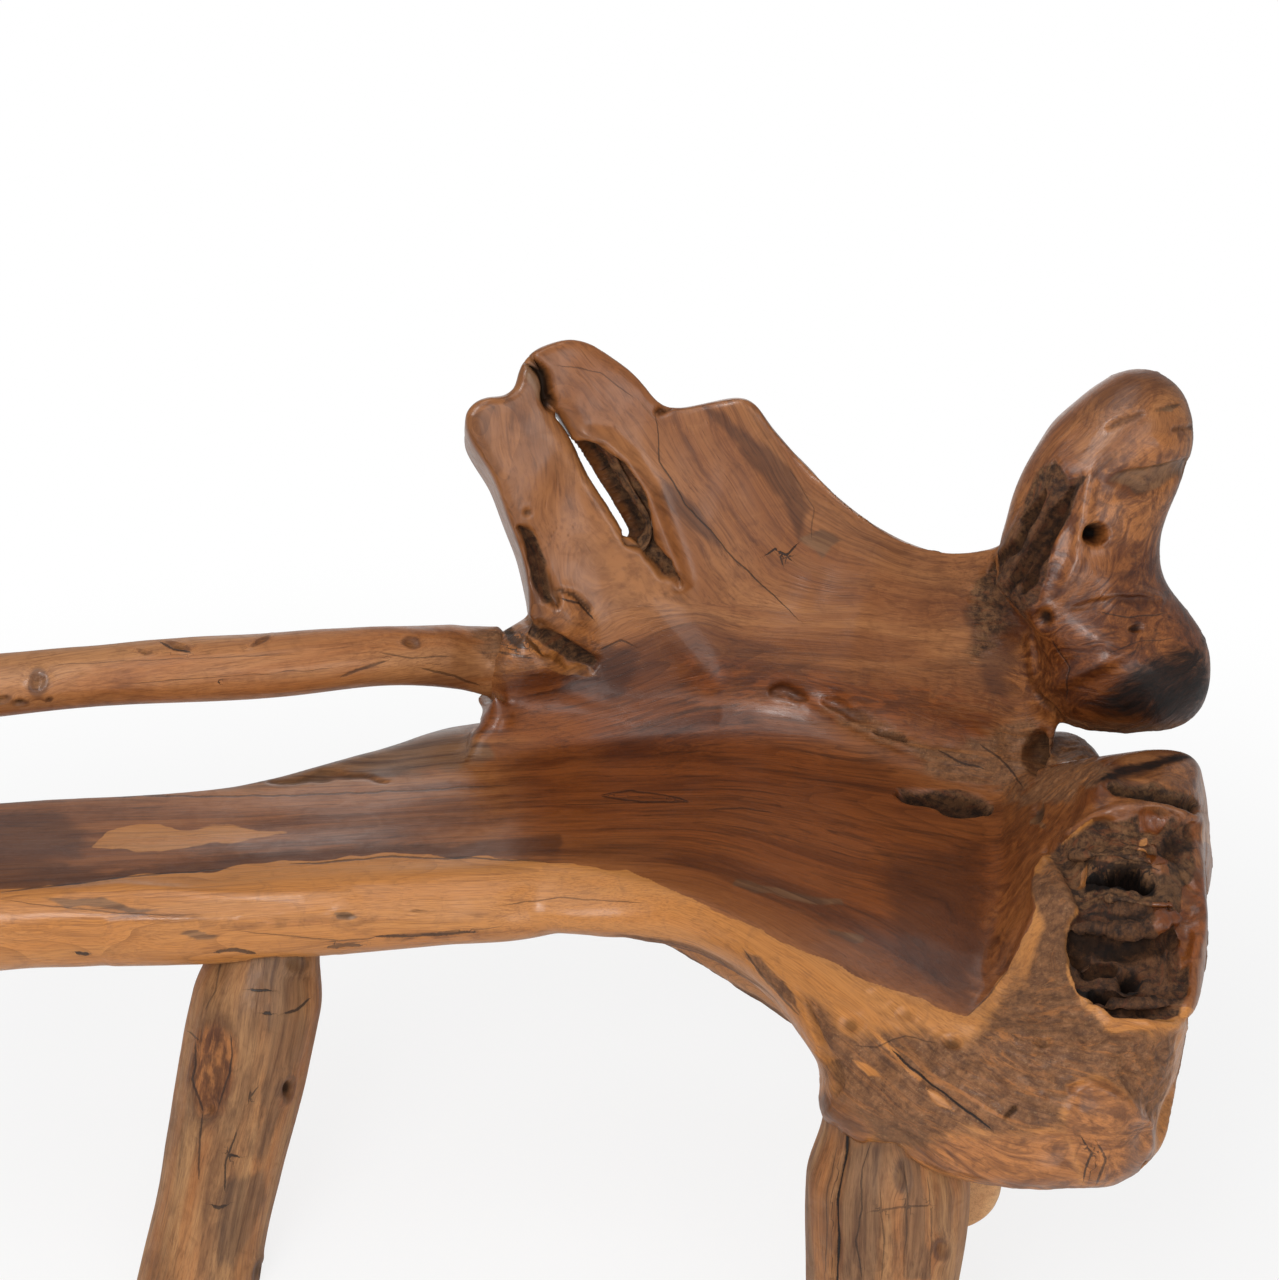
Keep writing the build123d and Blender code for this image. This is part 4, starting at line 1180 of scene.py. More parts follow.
def peg_wood():
    """Plain hard wood of the pegs and wedges."""
    wood = Wood("peg wood")
    bands = wood.noise(wood.stretched(wood.place(), (120, 60, 120)), 1.0, 4.0, 0.6)
    shade = wood.ramp(bands, 0.3, 0.7)
    wood.put("Base Color", wood.mix(shade, linear((120, 78, 44)), linear((170, 122, 76))))
    wood.put("Normal", wood.bump(bands, 0.0003, 0.5))
    wood.put("Roughness", 0.5)
    return wood.material


def wood_colour(name, description, default):
    """A colour of the wood, as it looks on a screen from 0 to 255."""
    return FloatVectorProperty(name=name, description=description, default=default, size=3, min=0, max=255)


class RootSettings(bpy.types.PropertyGroup):
    """Settings of the carved root"""
    mesh_size: FloatProperty(
        name="Mesh size", description="Size of the faces that the root is carved in",
        default=0.0029, unit="LENGTH")
    edge_rounds: IntProperty(
        name="Edge rounding", description="Rounds of smoothing before the details are carved", default=32)
    polish: FloatProperty(
        name="Polish", description="Roughness of the polished wood", default=0.28, min=0.05, max=1.0)
    dark: wood_colour("Dark heartwood", "Streaks of the back", (92, 48, 20))
    middle: wood_colour("Heartwood", "Main colour of the back", (146, 88, 46))
    light: wood_colour("Light heartwood", "Light bands of the back", (180, 120, 70))
    sap: wood_colour("Sapwood", "Natural edge of the seat", (198, 134, 72))


class LogSettings(bpy.types.PropertyGroup):
    """Settings of the rail, the post, the legs and the bearer"""
    mesh_size: FloatProperty(
        name="Mesh size", description="Size of the faces of the logs", default=0.003, unit="LENGTH")
    polish: FloatProperty(
        name="Polish", description="Roughness of the peeled wood", default=0.40, min=0.05, max=1.0)
    rail: wood_colour("Rail", "Main colour of the back rail", (177, 111, 59))
    leg: wood_colour("Legs", "Main colour of the legs", (174, 113, 63))
    bearer: wood_colour("Bearer", "Main colour of the bearer", (226, 170, 114))


class StudioSettings(bpy.types.PropertyGroup):
    """Settings of the lights"""
    key_power: FloatProperty(
        name="Key light", description="Power of the large front light", default=40.0, unit="POWER")
    fill_power: FloatProperty(
        name="Fill light", description="Power of the side light", default=15.0, unit="POWER")
    sky_strength: FloatProperty(
        name="Sky", description="Strength of the light from all sides", default=0.42)


def carve_cuts(skin, cuts):
    """Grooves and cracks along paths, narrower towards their ends, with painted shade along their bottoms."""
    for path, half_width, depth, dark in cuts:
        away, along, _ = line_distance(skin.frayed, path)
        reach = half_width * np.sqrt(np.clip(1.02 - (2 * along - 1) ** 4, 0.05, 1))
        share = smooth_step(away / reach, 1.35, 0.25) * skin.seen
        skin.push(-share * depth * MM)
        # Painted shade along the bottom of the cut
        skin.paint("hollow", smooth_step(away / reach, 1.05, 0.65) * skin.seen * dark)


def carve_hollows(skin, hollows):
    """Round pits and knots, with a rim where the wood grew round them, painted shade in the pits and dark
    knot cores.
    """
    for centre, radii, tilt, depth, dark, rim in hollows:
        away = round_distance(skin.pixels * 0.7 + skin.frayed * 0.3, centre, radii, tilt)
        share = smooth_step(away, 1.3, 0.4) * skin.seen
        lip = smooth_step(np.abs(away - 1.4), 0.5, 0.0) * skin.seen
        skin.push(-share * depth * MM + lip * rim * 1.2 * MM)
        # Painted shade at the bottom of the pit, or a dark knot core
        skin.paint("hollow", smooth_step(away, 1.0, 0.45) * skin.seen * dark)
        skin.paint("stain", lip * rim)


def carve_ridges(skin, ridges):
    """Rounded ridges along paths."""
    height = np.zeros(skin.count)
    for path, half_width, rise in ridges:
        away, along, _ = line_distance(skin.pixels, path)
        taper = np.sqrt(np.clip(1.02 - (2 * along - 1) ** 4, 0, 1))
        height = np.maximum(height, np.exp(-((away / half_width) ** 2)) * taper * rise * MM * skin.seen)
    skin.push(height)


def carve_swells(skin, swells):
    """Soft swells and dents of the carved surface."""
    height = np.zeros(skin.count)
    for centre, radii, tilt, rise in swells:
        away = round_distance(skin.pixels, centre, radii, tilt)
        height += np.exp(-(away**2)) * rise * MM * skin.near
    skin.push(skin.spread(height, 4))


def carve_sinks(skin, sinks):
    """Whole areas that lie lower than what is round them."""
    for outline, edge, depth in sinks:
        skin.push(-skin.inside(outline, edge) * depth * MM)


# What is joined to the root from below. The surface has to stay as it is up to this far round the sockets,
# but only from this far under the top of the seat downwards
UNDER_ROOT = ("front_left_leg", "rear_left_leg", "front_right_leg", "rear_right_leg", "right_bearer")
SOCKET_MARGIN = 0.004
SEAT_SKIN = 0.02


def socket_share(skin):
    """1 on the walls of the sockets under the root, where the surface has to stay."""
    share = np.zeros(skin.count)
    for node in UNDER_ROOT:
        low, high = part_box(node)
        middle = (np.array(low) + np.array(high)) / 2
        half = (np.array(high) - np.array(low)) / 2 + SOCKET_MARGIN
        share[(np.abs(skin.points - middle) < half).all(axis=1)] = 1
    return share * (skin.points[:, 2] < SEAT_TOP - SEAT_SKIN)


# Grain of the plank where the photo doesn't show it: starts of strokes, their length, y and height
PLANK_STROKES = (-0.70, -0.55, -0.40, -0.25, -0.10)
PLANK_STROKE_LENGTH = 0.1
PLANK_GRAIN_Y = 0.08
PLANK_GRAIN_Z = 0.40

# Swirls of the grain in the burl at the root's end: where they grow strong, their wave, seed and size
BURL_START = 0.46
BURL_FULL = 0.58
SWIRL_WAVE = 0.07
SWIRL_SEED = 81
SWIRL_SIZE = 0.012


def root_grain(skin):
    """Grain coordinates of the root, from the photo's streaks and along the plank."""
    strokes = []
    for first, second in GRAIN_STROKES:
        ends = [skin.tree.ray_cast(*pixel_ray(pixel))[0] for pixel in (first, second)]
        if None in ends:
            raise RuntimeError(f"the grain stroke from {first} to {second} misses the root")
        strokes.append([np.array(end) for end in ends])
    for x in PLANK_STROKES:
        strokes.append([np.array((at, PLANK_GRAIN_Y, PLANK_GRAIN_Z)) for at in (x, x + PLANK_STROKE_LENGTH)])
    grain = grain_field(skin, strokes)
    burl = smooth_step(skin.points[:, 0], BURL_START, BURL_FULL) * 0.9 + 0.25
    grain[:, :2] += skin.paired_noise(SWIRL_WAVE, SWIRL_SEED, 2) * SWIRL_SIZE * burl[:, None]
    return grain


# The root's slow unevenness: wave, seed and height of each layer, and the share that the flat top loses
WANDER = ((0.16, 3, 0.0028), (0.05, 7, 0.0008))
FLAT_TOP_LOSS = 0.6

# The root's corner at the rail, which is rounded off: centre, radii, tilt and rounds of smoothing
RAIL_CORNER = ((486, 726), (34, 26), 0)
RAIL_CORNER_ROUNDS = 60


def let_wander(skin, free):
    """Moves the surface slowly up and down, less on the flat top of the seat."""
    height = sum(layered_noise(skin.points, wave, seed, 2) * size for wave, seed, size in WANDER)
    top = smooth_step(skin.normals[:, 2], 0.80, 0.97)
    top = top * smooth_step(skin.points[:, 2], SEAT_TOP - 0.005, SEAT_TOP - 0.001)
    skin.push(height * free * (1 - FLAT_TOP_LOSS * top))


def roughen(skin, grain):
    """Breaks the rough zones up into ridges along the grain and lumps."""
    along = grain * np.array([3.0, 3.0, 0.7])
    ridges = 1 - 2 * np.abs(layered_noise(along, 0.035, 31, 3))
    lumps = layered_noise(skin.points, 0.020, 41, 3)
    skin.push(skin.rough * (0.6 * ridges + 0.7 * lumps - 0.8))


# The collar: its radius, which is smaller at the top, the rail's radius inside it, and the wall it grows from
COLLAR_RADIUS = 0.060
COLLAR_TOP_LOSS = 0.005
COLLAR_THROAT = 0.031
COLLAR_INSIDE = (0.022, 0.029)
COLLAR_WALL = (0.04, 0.02)


def gather_collar(skin):
    """Draws the root's wall out along the rail, so that the branch grows out of it."""
    away = np.hypot(skin.points[:, 1] - RAIL_END[1], skin.points[:, 2] - RAIL_END[2])
    rise = (skin.points[:, 2] - RAIL_END[2]) / np.maximum(away, 0.001)
    wall = smooth_step(np.abs(skin.points[:, 0] - RAIL_END[0]), *COLLAR_WALL)
    wall = wall * smooth_step(-skin.normals[:, 0], 0.1, 0.5)
    outer = COLLAR_RADIUS - COLLAR_TOP_LOSS * rise
    top = np.clip(rise, 0, 1)
    ring = np.clip((outer - away) / (outer - COLLAR_THROAT), 0, 1) ** (1.8 - 0.9 * top)
    ring = ring * smooth_step(away, *COLLAR_INSIDE)
    skin.points[:, 0] -= skin.spread(wall * ring, 2) * COLLAR * (1 + 0.25 * top)
    skin.refresh()


# Wood of the hidden sides: where the seat's edge is pale, how deep the rear is, where rough skin grows,
# and the roughness of its patches, of the root's end and of the underside in mm
RIM_DROP = 0.010
REAR_DEPTH = 0.45
REAR_START = (0.45, 0.47)
PATCH_WAVE = 0.12
PATCH_SEED = 21
KNOB_START = (0.55, 0.66)
UNDER_START = (0.02, 0.14)
HIDDEN_ROUGHNESS = (1.2, 1.8, 1.5)


def paint_rough(skin, zone, share, height):
    """Marks a rough zone, which is later broken up by a height in mm."""
    skin.paint(zone, share)
    skin.rough = np.maximum(skin.rough, share * height * MM)


def paint_photo_sides(skin):
    """Marks bark, skin, scorch, sapwood and tones in the photo's places, with painted shade in a slot and two
    hollows and a partly painted highlight on the knob.
    """
    for zone, patches in (("bark", BARK_PATCHES), ("skin", SKIN_PATCHES)):
        for outline, edge, height in patches:
            paint_rough(skin, zone, skin.inside(outline, edge), height)
    smooth_patches = {
        "char_and_slot_shade": CHAR_AND_SLOT_SHADE_PATCHES,
        "sap": SAP_AND_KNOB_HIGHLIGHT_PATCHES + [(SEAT_RIM + RAMP_RIM + FRONT_RIM, 3)],
        "red": RED_PATCHES,
        "stain": STAIN_PATCHES,
        "ash": ASH_PATCHES,
    }
    for zone, patches in smooth_patches.items():
        for outline, edge in patches:
            skin.paint(zone, skin.inside(outline, edge))
    for zone, patches in (("deep_wood_and_hollow_shade", DEEP_WOOD_AND_HOLLOW_SHADE_PATCHES), ("burl", BURL_PATCHES)):
        for outline, edge, share in patches:
            skin.paint(zone, skin.inside(outline, edge) * share)


def paint_hidden_sides(skin, free):
    """Marks the seat's pale edge, the dark rear and the rough patches that the photo doesn't show."""
    height = skin.points[:, 2]
    hidden = (1 - skin.seen) * free
    edge_side = smooth_step(SEAT_TOP + 0.002 - height, 0.0, RIM_DROP) * (1 - skin.seen)
    skin.paint("sap", edge_side)
    rear = smooth_step(skin.normals[:, 1], 0.1, 0.6) * hidden * smooth_step(height, *REAR_START)
    skin.paint("deep_wood_and_hollow_shade", REAR_DEPTH * rear)
    patchy = smooth_step(layered_noise(skin.points, PATCH_WAVE, PATCH_SEED, 3), 0.15, 0.65) * hidden
    knobbly = smooth_step(skin.points[:, 0], *KNOB_START) * hidden
    below = smooth_step(-skin.normals[:, 2], 0.3, 0.8) * smooth_step(skin.points[:, 0], *UNDER_START) * free
    for share, roughness in zip((patchy, knobbly, 0.8 * below), HIDDEN_ROUGHNESS):
        paint_rough(skin, "skin", share, roughness)


def bare_chips(skin):
    """Takes skin and bark off where bare sapwood, the partly painted highlight on the knob or reddish wood
    shows.
    """
    bare = np.zeros(skin.count)
    for outline, edge in SAP_AND_KNOB_HIGHLIGHT_PATCHES + RED_PATCHES:
        bare = np.maximum(bare, skin.inside(outline, edge))
    for zone in ("skin", "bark"):
        skin.zones[zone] *= 1 - bare


class BENCH_OT_carve_root(bpy.types.Operator):
    """Carves the root: seat plank, foot, coved back, horn and arm"""
    bl_idname = "bench.carve_root"
    bl_label = "Carve root"

    def execute(self, context):
        settings = context.scene.bench_root
        piece = remeshed_copy("root_seat", "carved_root_seat", settings.mesh_size)
        skin = Skin(piece.data)
        keep = socket_share(skin)
        skin.smooth(settings.edge_rounds, skin.spread(keep, 2))
        gather_collar(skin)
        skin.look()
        skin.fray(51, ROOT_FRAY)
        grain = root_grain(skin)
        free = 1 - skin.spread(keep, 3)
        self.carve(skin, free)
        paint_photo_sides(skin)
        paint_hidden_sides(skin, free)
        bare_chips(skin)
        roughen(skin, grain)
        colours = (settings.dark, settings.middle, settings.light, settings.sap)
        wood = Teak("polished teak root", colours, settings.polish)
        finish_piece(piece, skin, grain, LINES_AND_SLOT_SHADE, wood, "carved_root", "root_seat")
        return {"FINISHED"}

    def carve(self, skin, free):
        """Gives the root its unevenness, swells, ridges, sunken places, cuts and pits."""
        corner = np.exp(-round_distance(skin.pixels, *RAIL_CORNER) ** 2) * skin.near
        skin.smooth(RAIL_CORNER_ROUNDS, 1 - corner)
        let_wander(skin, free)
        carve_swells(skin, SWELLS)
        carve_ridges(skin, RIDGES)
        carve_sinks(skin, SINKS)
        carve_cuts(skin, CUTS)
        carve_hollows(skin, HOLLOWS)
        skin.smooth(1, 1 - free)


# A log's unevenness: wave along the flow of its grain, slow wave and its height against the first, and how
# little the log's length counts against its width, which draws the waves out
LOG_WAVE = 0.030
LOG_SLOW_WAVE = 0.11
LOG_SLOW_HEIGHT = 1.4
LOG_FLOW = 0.22
LOG_SWIRL_WAVE = 0.06
LOG_SWIRL_SIZE = 0.004

# Where a log's head is drawn in, below its end, and how far the grain bends round a knot
HEAD_DRAWN = (0.08, 0.01)
KNOT_BEND = 0.010


class Log:
    """A peeled log: a copy of a node whose grain runs along the line from start to end."""

    def __init__(self, node, name, start, end, voxel, seed):
        self.node = node
        self.seed = seed
        self.piece = remeshed_copy(node, name, voxel)
        self.skin = Skin(self.piece.data)
        start, end = np.array(start), np.array(end)
        way = (end - start) / np.linalg.norm(end - start)
        self.side = np.cross(way, (0.0, 1.0, 0.0) if abs(way[1]) < 0.8 else (0.0, 0.0, 1.0))
        self.side /= np.linalg.norm(self.side)
        self.other = np.cross(way, self.side)
        offset = self.skin.points - start
        self.grain = np.stack([offset @ self.side, offset @ self.other, offset @ way], axis=1)
        self.flow = self.grain * np.array([1, 1, LOG_FLOW])
        self.skin.smooth(2)
        self.skin.look()
        self.skin.fray(seed, LOG_FRAY)

    def peel(self, wave, pinch=0.0):
        """Makes the log uneven by a height in metres, and draws its head in by a share."""
        skin, seed, along = self.skin, self.seed, self.grain[:, 2]
        radius = np.hypot(self.grain[:, 0], self.grain[:, 1])
        outer = np.percentile(radius, 90)
        height = layered_noise(self.flow, LOG_WAVE, seed, 3) * wave
        height = height + layered_noise(skin.points, LOG_SLOW_WAVE, seed + 5, 2) * LOG_SLOW_HEIGHT * wave
        skin.push(height * smooth_step(radius, 0.75 * outer, 0.9 * outer))
        head = along[radius > 0.8 * outer].max()
        draw = smooth_step(along, head - HEAD_DRAWN[0], head - HEAD_DRAWN[1]) * (radius > 0.5 * outer)
        inward = np.outer(self.grain[:, 0], self.side) + np.outer(self.grain[:, 1], self.other)
        skin.points -= inward * (pinch * draw)[:, None]
        skin.refresh()

    def add_knots(self, knots):
        """Carves knots, with dark cores that are partly painted shade of their shallow pits, with rings and
        stains round them, and bends the grain there.
        """
        skin = self.skin
        for pixel, radii, tilt, depth, dark in knots:
            away = round_distance(skin.frayed, pixel, radii, tilt)
            rings = np.exp(-((away - 1.3) ** 2) * 6)
            skin.push((rings - smooth_step(away, 1.1, 0.4) * depth) * MM * skin.seen)
            # Dark knot core, partly the painted shade of its pit
            skin.paint("hollow", smooth_step(away, 1.0, 0.3) * dark * skin.seen)
            skin.paint("stain", np.exp(-((away - 1.0) ** 2) * 3) * skin.seen * 0.8)
            self.grain[:, 0] += np.exp(-(away**2) / 3.0) * KNOT_BEND * skin.seen

    def finish(self, lines, wood, slot):
        """Swirls the grain, draws the log's cracks and puts it in its node's place."""
        self.grain[:, 0] += layered_noise(self.flow, LOG_SWIRL_WAVE, self.seed + 7, 2) * LOG_SWIRL_SIZE
        finish_piece(self.piece, self.skin, self.grain + self.seed, lines, wood, slot, self.node)


# The dark, light and sapwood colours that go with each log's main colour
LOG_COLOURS = {
    "rail": ((112, 64, 32), (190, 132, 82), (178, 120, 72)),
    "leg": ((98, 60, 34), (186, 138, 90), (176, 122, 74)),
    "bearer": ((176, 118, 70), (236, 186, 130), (230, 176, 118)),
}


def log_colours(settings, kind):
    """A log's dark, main, light and sapwood colours."""
    dark, light, sap = LOG_COLOURS[kind]
    return dark, getattr(settings, kind), light, sap


# The rail and the legs in the photo: knots, lines, cuts and patches, as in the tables of the root
RAIL_KNOTS = [
    ((39, 682), (8, 11), 10, 1.5, 0.45), ((20, 703), (8, 3), 0, 2.5, 0.9),
    ((178, 647), (10, 3), 15, 2.0, 0.6),
    ((411, 642), (7, 4), 0, 2.0, 0.5), ((50, 699), (3, 2), 0, 1.5, 0.9), ((260, 641), (8, 2), -30, 1.0, 0.4),
    ((146, 651), (7, 2), 10, 1.0, 0.5), ((2, 700), (9, 4), -15, 2.0, 0.5),
]
RAIL_LINES = [
    (((160, 642), (175, 650), (190, 652)), 1.2, 0.8), (((217, 681), (221, 684)), 1.0, 0.8),
    (((340, 676), (360, 668), (386, 660)), 1.4, 0.6), (((380, 652), (410, 658), (450, 656)), 0.8, 0.5),
    (((60, 664), (160, 660), (300, 655)), 0.5, 0.4), (((120, 683), (240, 676), (330, 668)), 0.5, 0.4),
    (((420, 668), (455, 676), (480, 690)), 1.2, 0.6),
]
LEG_KNOTS = {
    "front_left_leg": [
        ((214, 1068), (17, 42), 8, 1.6, 0.12), ((289, 1088), (6, 12), 12, 4.0, 0.9),
        ((213, 1110), (6, 6), 0, 1.5, 0.4),
        ((300, 965), (10, 6), 0, 1.0, 0.3), ((258, 1272), (6, 10), 20, 1.5, 0.4),
    ],
    "rear_left_leg": [],
    "front_right_leg": [((905, 1180), (8, 12), 0, 1.0, 0.2), ((940, 1250), (7, 9), 0, 1.2, 0.3)],
    "rear_right_leg": [],
}
LEG_LINES = {
    "front_left_leg": [
        (((249, 991), (260, 992), (273, 993)), 1.3, 0.9), (((262, 1014), (272, 1014)), 1.8, 0.9),
        (((284, 1012), (297, 1009), (311, 1000)), 1.3, 0.8),
        (((225, 1152), (232, 1154), (240, 1155)), 1.3, 0.9),
        (((212, 1205), (219, 1207), (227, 1205)), 1.7, 0.8),
        (((196, 1040), (194, 1080), (204, 1112)), 1.2, 0.7),
        (((232, 1036), (231, 1070), (220, 1104)), 1.1, 0.7),
        (((204, 1112), (200, 1140), (198, 1180)), 1.0, 0.7),
        (((214, 955), (216, 990), (206, 1010)), 0.8, 0.5),
        (((237, 1130), (226, 1160), (224, 1190)), 0.9, 0.8),
        (((250, 1090), (248, 1100), (258, 1086)), 0.7, 0.7), (((188, 1030), (200, 1040)), 0.8, 0.6),
    ],
    "front_right_leg": [
        (((839, 1130), (837, 1200), (836, 1280), (834, 1400)), 1.6, 1.0),
        (((866, 1150), (858, 1175), (862, 1210), (856, 1240), (862, 1280)), 0.9, 0.6),
        (((871, 1212), (900, 1208), (932, 1205)), 0.9, 0.5),
        (((880, 1190), (884, 1240), (882, 1280)), 0.8, 0.5),
        (((905, 1165), (908, 1200), (904, 1280)), 0.8, 0.5),
        (((828, 1150), (826, 1200), (824, 1280)), 0.7, 0.5),
        (((930, 1180), (932, 1230), (930, 1280)), 0.7, 0.5),
    ],
    "rear_left_leg": [],
    "rear_right_leg": [],
}
LEG_CUTS = {"front_right_leg": [(((838, 1138), (836, 1200), (835, 1280), (834, 1400)), 4.0, 3, 0.2)]}
LEG_PATCHES = {
    "front_left_leg": [
        ("ash", ((266, 958), (312, 958), (306, 1010), (300, 1060), (280, 1110), (262, 1160), (252, 1150),
                 (262, 1080), (270, 1010)), 30),
        ("ash", ((226, 1180), (262, 1172), (268, 1200), (252, 1236), (232, 1270), (216, 1262),
          (218, 1220)), 26),
        ("burl", ((194, 1036), (214, 1022), (236, 1040), (236, 1080), (222, 1116), (202, 1114),
          (190, 1080)), 26),
        ("red", ((274, 1086), (284, 1076), (284, 1104), (276, 1108)), 4),
    ],
    "front_right_leg": [
        ("ash", ((842, 1150), (880, 1150), (876, 1280), (842, 1280)), 16),
        ("ash", ((900, 1160), (925, 1165), (930, 1280), (905, 1280)), 14),
    ],
}

# The rail's shoulder: how far back it is drawn in, where it tapers off, its radius and what the top adds
SHOULDER_BACK = (0.07, 0.02)
SHOULDER_TAPER = (0.002, 0.016)
SHOULDER_RADIUS = 0.034
SHOULDER_TOP = 0.012
TENON_RADIUS = 0.022


def pinch_shoulder(skin):
    """Draws the flared shoulder of the rail in, so that it sinks into the collar of the root."""
    along = skin.points[:, 0] - RAIL_END[0]
    away = skin.points[:, 1:] - np.array(RAIL_END[1:])
    radius = np.maximum(np.linalg.norm(away, axis=1), 0.001)
    near = smooth_step(along, -SHOULDER_BACK[0], -SHOULDER_BACK[1])
    taper = smooth_step(along, -SHOULDER_TAPER[0], -SHOULDER_TAPER[1])
    limit = SHOULDER_RADIUS + SHOULDER_TOP * np.clip(away[:, 1] / radius, 0, 1) * taper
    share = np.where(radius > TENON_RADIUS, np.minimum(1, limit / radius), 1)
    skin.points[:, 1:] += away * ((share - 1) * near)[:, None]
    skin.refresh()


# The rail: how far inside its box the line of its grain runs, where rough skin starts by the root in
# pixels, how high up it starts, and the waves of its stain
RAIL_INSET = 0.03
RAIL_JOINT = (452, 500)
RAIL_UPPER = (668, 650)
RAIL_STAIN = (0.016, 12, 3)

# A leg's foot and head, measured from its ends in metres, and the seams along it: how little the leg's
# length counts against its width, and their wave
FOOT_DEPTH = 0.002
HEAD_DEPTH = 0.02
SEAM_FLOW = 0.10
SEAM_WAVE = 0.05

# Meshes and unevenness of the logs in metres, and the share that the heads of the legs are drawn in
RAIL_WAVE = 0.0012
POST_MESH = 0.0025
POST_WAVE = 0.0006
LEG_WAVE = 0.0016
LEG_PINCH = 0.18
BEARER_WAVE = 0.0005


class BENCH_OT_peel_rail(bpy.types.Operator):
    """Peels the branch of the back rail and its post"""
    bl_idname = "bench.peel_rail"
    bl_label = "Peel rail and post"

    def execute(self, context):
        settings = context.scene.bench_logs
        wood = Teak("peeled teak branch", log_colours(settings, "rail"), settings.polish, 0.35)
        low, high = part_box("back_rail")
        middle = (low[2] + high[2]) / 2
        start = (low[0], low[1] + RAIL_INSET, middle)
        end = (high[0], high[1] - RAIL_INSET, middle)
        rail = Log("back_rail", "peeled_back_rail", start, end, settings.mesh_size, 3)
        rail.peel(RAIL_WAVE)
        rail.add_knots(RAIL_KNOTS)
        pinch_shoulder(rail.skin)
        self.paint_joint(rail.skin)
        rail.finish(RAIL_LINES, wood, "branch_teak")

        low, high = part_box("rail_post")
        x, y = (low[0] + high[0]) / 2, (low[1] + high[1]) / 2
        post = Log("rail_post", "peeled_rail_post", (x, y, low[2]), (x, y, high[2]), POST_MESH, 8)
        post.peel(POST_WAVE)
        post.finish([], wood, "branch_teak")
        return {"FINISHED"}

    def paint_joint(self, skin):
        """Gives the upper side of the rail some of the root's skin where the two meet."""
        joint = smooth_step(skin.pixels[:, 0], *RAIL_JOINT) * skin.seen
        upper = smooth_step(skin.pixels[:, 1], *RAIL_UPPER)
        wave, seed, layers = RAIL_STAIN
        skin.paint("skin", 0.8 * joint * upper)
        patchy = smooth_step(layered_noise(skin.points, wave, seed, layers), -0.1, 0.3)
        skin.paint("stain", joint * upper * patchy)


class BENCH_OT_peel_legs(bpy.types.Operator):
    """Peels the four log legs"""
    bl_idname = "bench.peel_legs"
    bl_label = "Peel legs"

    def execute(self, context):
        settings = context.scene.bench_logs
        wood = Teak("peeled teak log", log_colours(settings, "leg"), settings.polish + 0.08, 0.45, 0.04)
        for index, (node, knots) in enumerate(LEG_KNOTS.items()):
            corners = np.array([v.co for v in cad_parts[node].data.vertices])
            foot = corners[corners[:, 2] < FOOT_DEPTH].mean(axis=0)
            head = corners[corners[:, 2] > corners[:, 2].max() - HEAD_DEPTH].mean(axis=0)
            leg = Log(node, "peeled_" + node, foot, head, settings.mesh_size, 20 + 3 * index)
            leg.peel(LEG_WAVE, LEG_PINCH)
            leg.add_knots(knots)
            carve_cuts(leg.skin, LEG_CUTS.get(node, []))
            self.paint_zones(leg, 60 + index)
            leg.skin.points[:, 2] = np.maximum(leg.skin.points[:, 2], 0)
            leg.skin.refresh()
            leg.finish(LEG_LINES.get(node, []), wood, "peeled_log")
        return {"FINISHED"}

    def paint_zones(self, leg, seed):
        """Marks the photo's patches and seams of ash, rough skin and stain along the leg."""
        skin = leg.skin
        for zone, outline, edge in LEG_PATCHES.get(leg.node, []):
            skin.paint(zone, skin.inside(outline, edge))
        along = np.column_stack([leg.flow[:, :2], leg.grain[:, 2] * SEAM_FLOW])
        seams = layered_noise(along, SEAM_WAVE, seed, 3)
        hidden = 1 - skin.seen
        skin.paint("ash", smooth_step(seams, 0.15, 0.65) * (0.5 + 0.4 * hidden))
        skin.paint("skin", smooth_step(seams, 0.45, 0.9) * hidden * 0.8)
        skin.paint("stain", smooth_step(-seams, 0.3, 0.8) * 0.6)


class BENCH_OT_turn_bearer(bpy.types.Operator):
    """Makes the pale log of the bearer"""
    bl_idname = "bench.turn_bearer"
    bl_label = "Make bearer"

    def execute(self, context):
        settings = context.scene.bench_logs
        wood = Teak("pale teak bearer", log_colours(settings, "bearer"), settings.polish, 0.35)
        low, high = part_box("right_bearer")
        x, z = (low[0] + high[0]) / 2, (low[2] + high[2]) / 2
        bearer = Log(
            "right_bearer", "pale_right_bearer", (x, low[1], z), (x, high[1], z), settings.mesh_size, 51)
        bearer.peel(BEARER_WAVE)
        bearer.finish([], wood, "bearer_teak")
        return {"FINISHED"}


class BENCH_OT_finish_fasteners(bpy.types.Operator):
    """Finishes the screws, washers, pegs and wedges"""
    bl_idname = "bench.finish_fasteners"
    bl_label = "Finish fasteners"

    def execute(self, context):
        wedges = [leg + "_wedge" for leg in LEG_KNOTS]
        self.give(zinc_metal(), ["bearer_screws", "bearer_washers"])
        self.give(peg_wood(), ["rail_peg", "post_pegs", *wedges])
        return {"FINISHED"}

    def give(self, material, nodes):
        """Puts a material on nodes that keep their CAD shape."""
        for node in nodes:
            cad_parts[node].data.materials.clear()
            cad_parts[node].data.materials.append(material)


# Area lights: place, size, whose power they have and their share of it; and what they aim at
LIGHTS = {
    "key light": ((-1.0, -2.9, 2.3), 1.4, "key_power", 1.0),
    "glint light": ((-0.7, -2.8, 2.5), 0.45, "key_power", 0.2),
    "fill light": ((1.4, -3.0, 1.0), 1.4, "fill_power", 1.0),
    "top light": ((-0.3, -1.0, 3.1), 1.8, "fill_power", 1.0),
    "rear light": ((0.4, 2.8, 1.2), 1.8, "fill_power", 0.6),
}
LIGHT_AIM = (0.1, 0.0, 0.55)

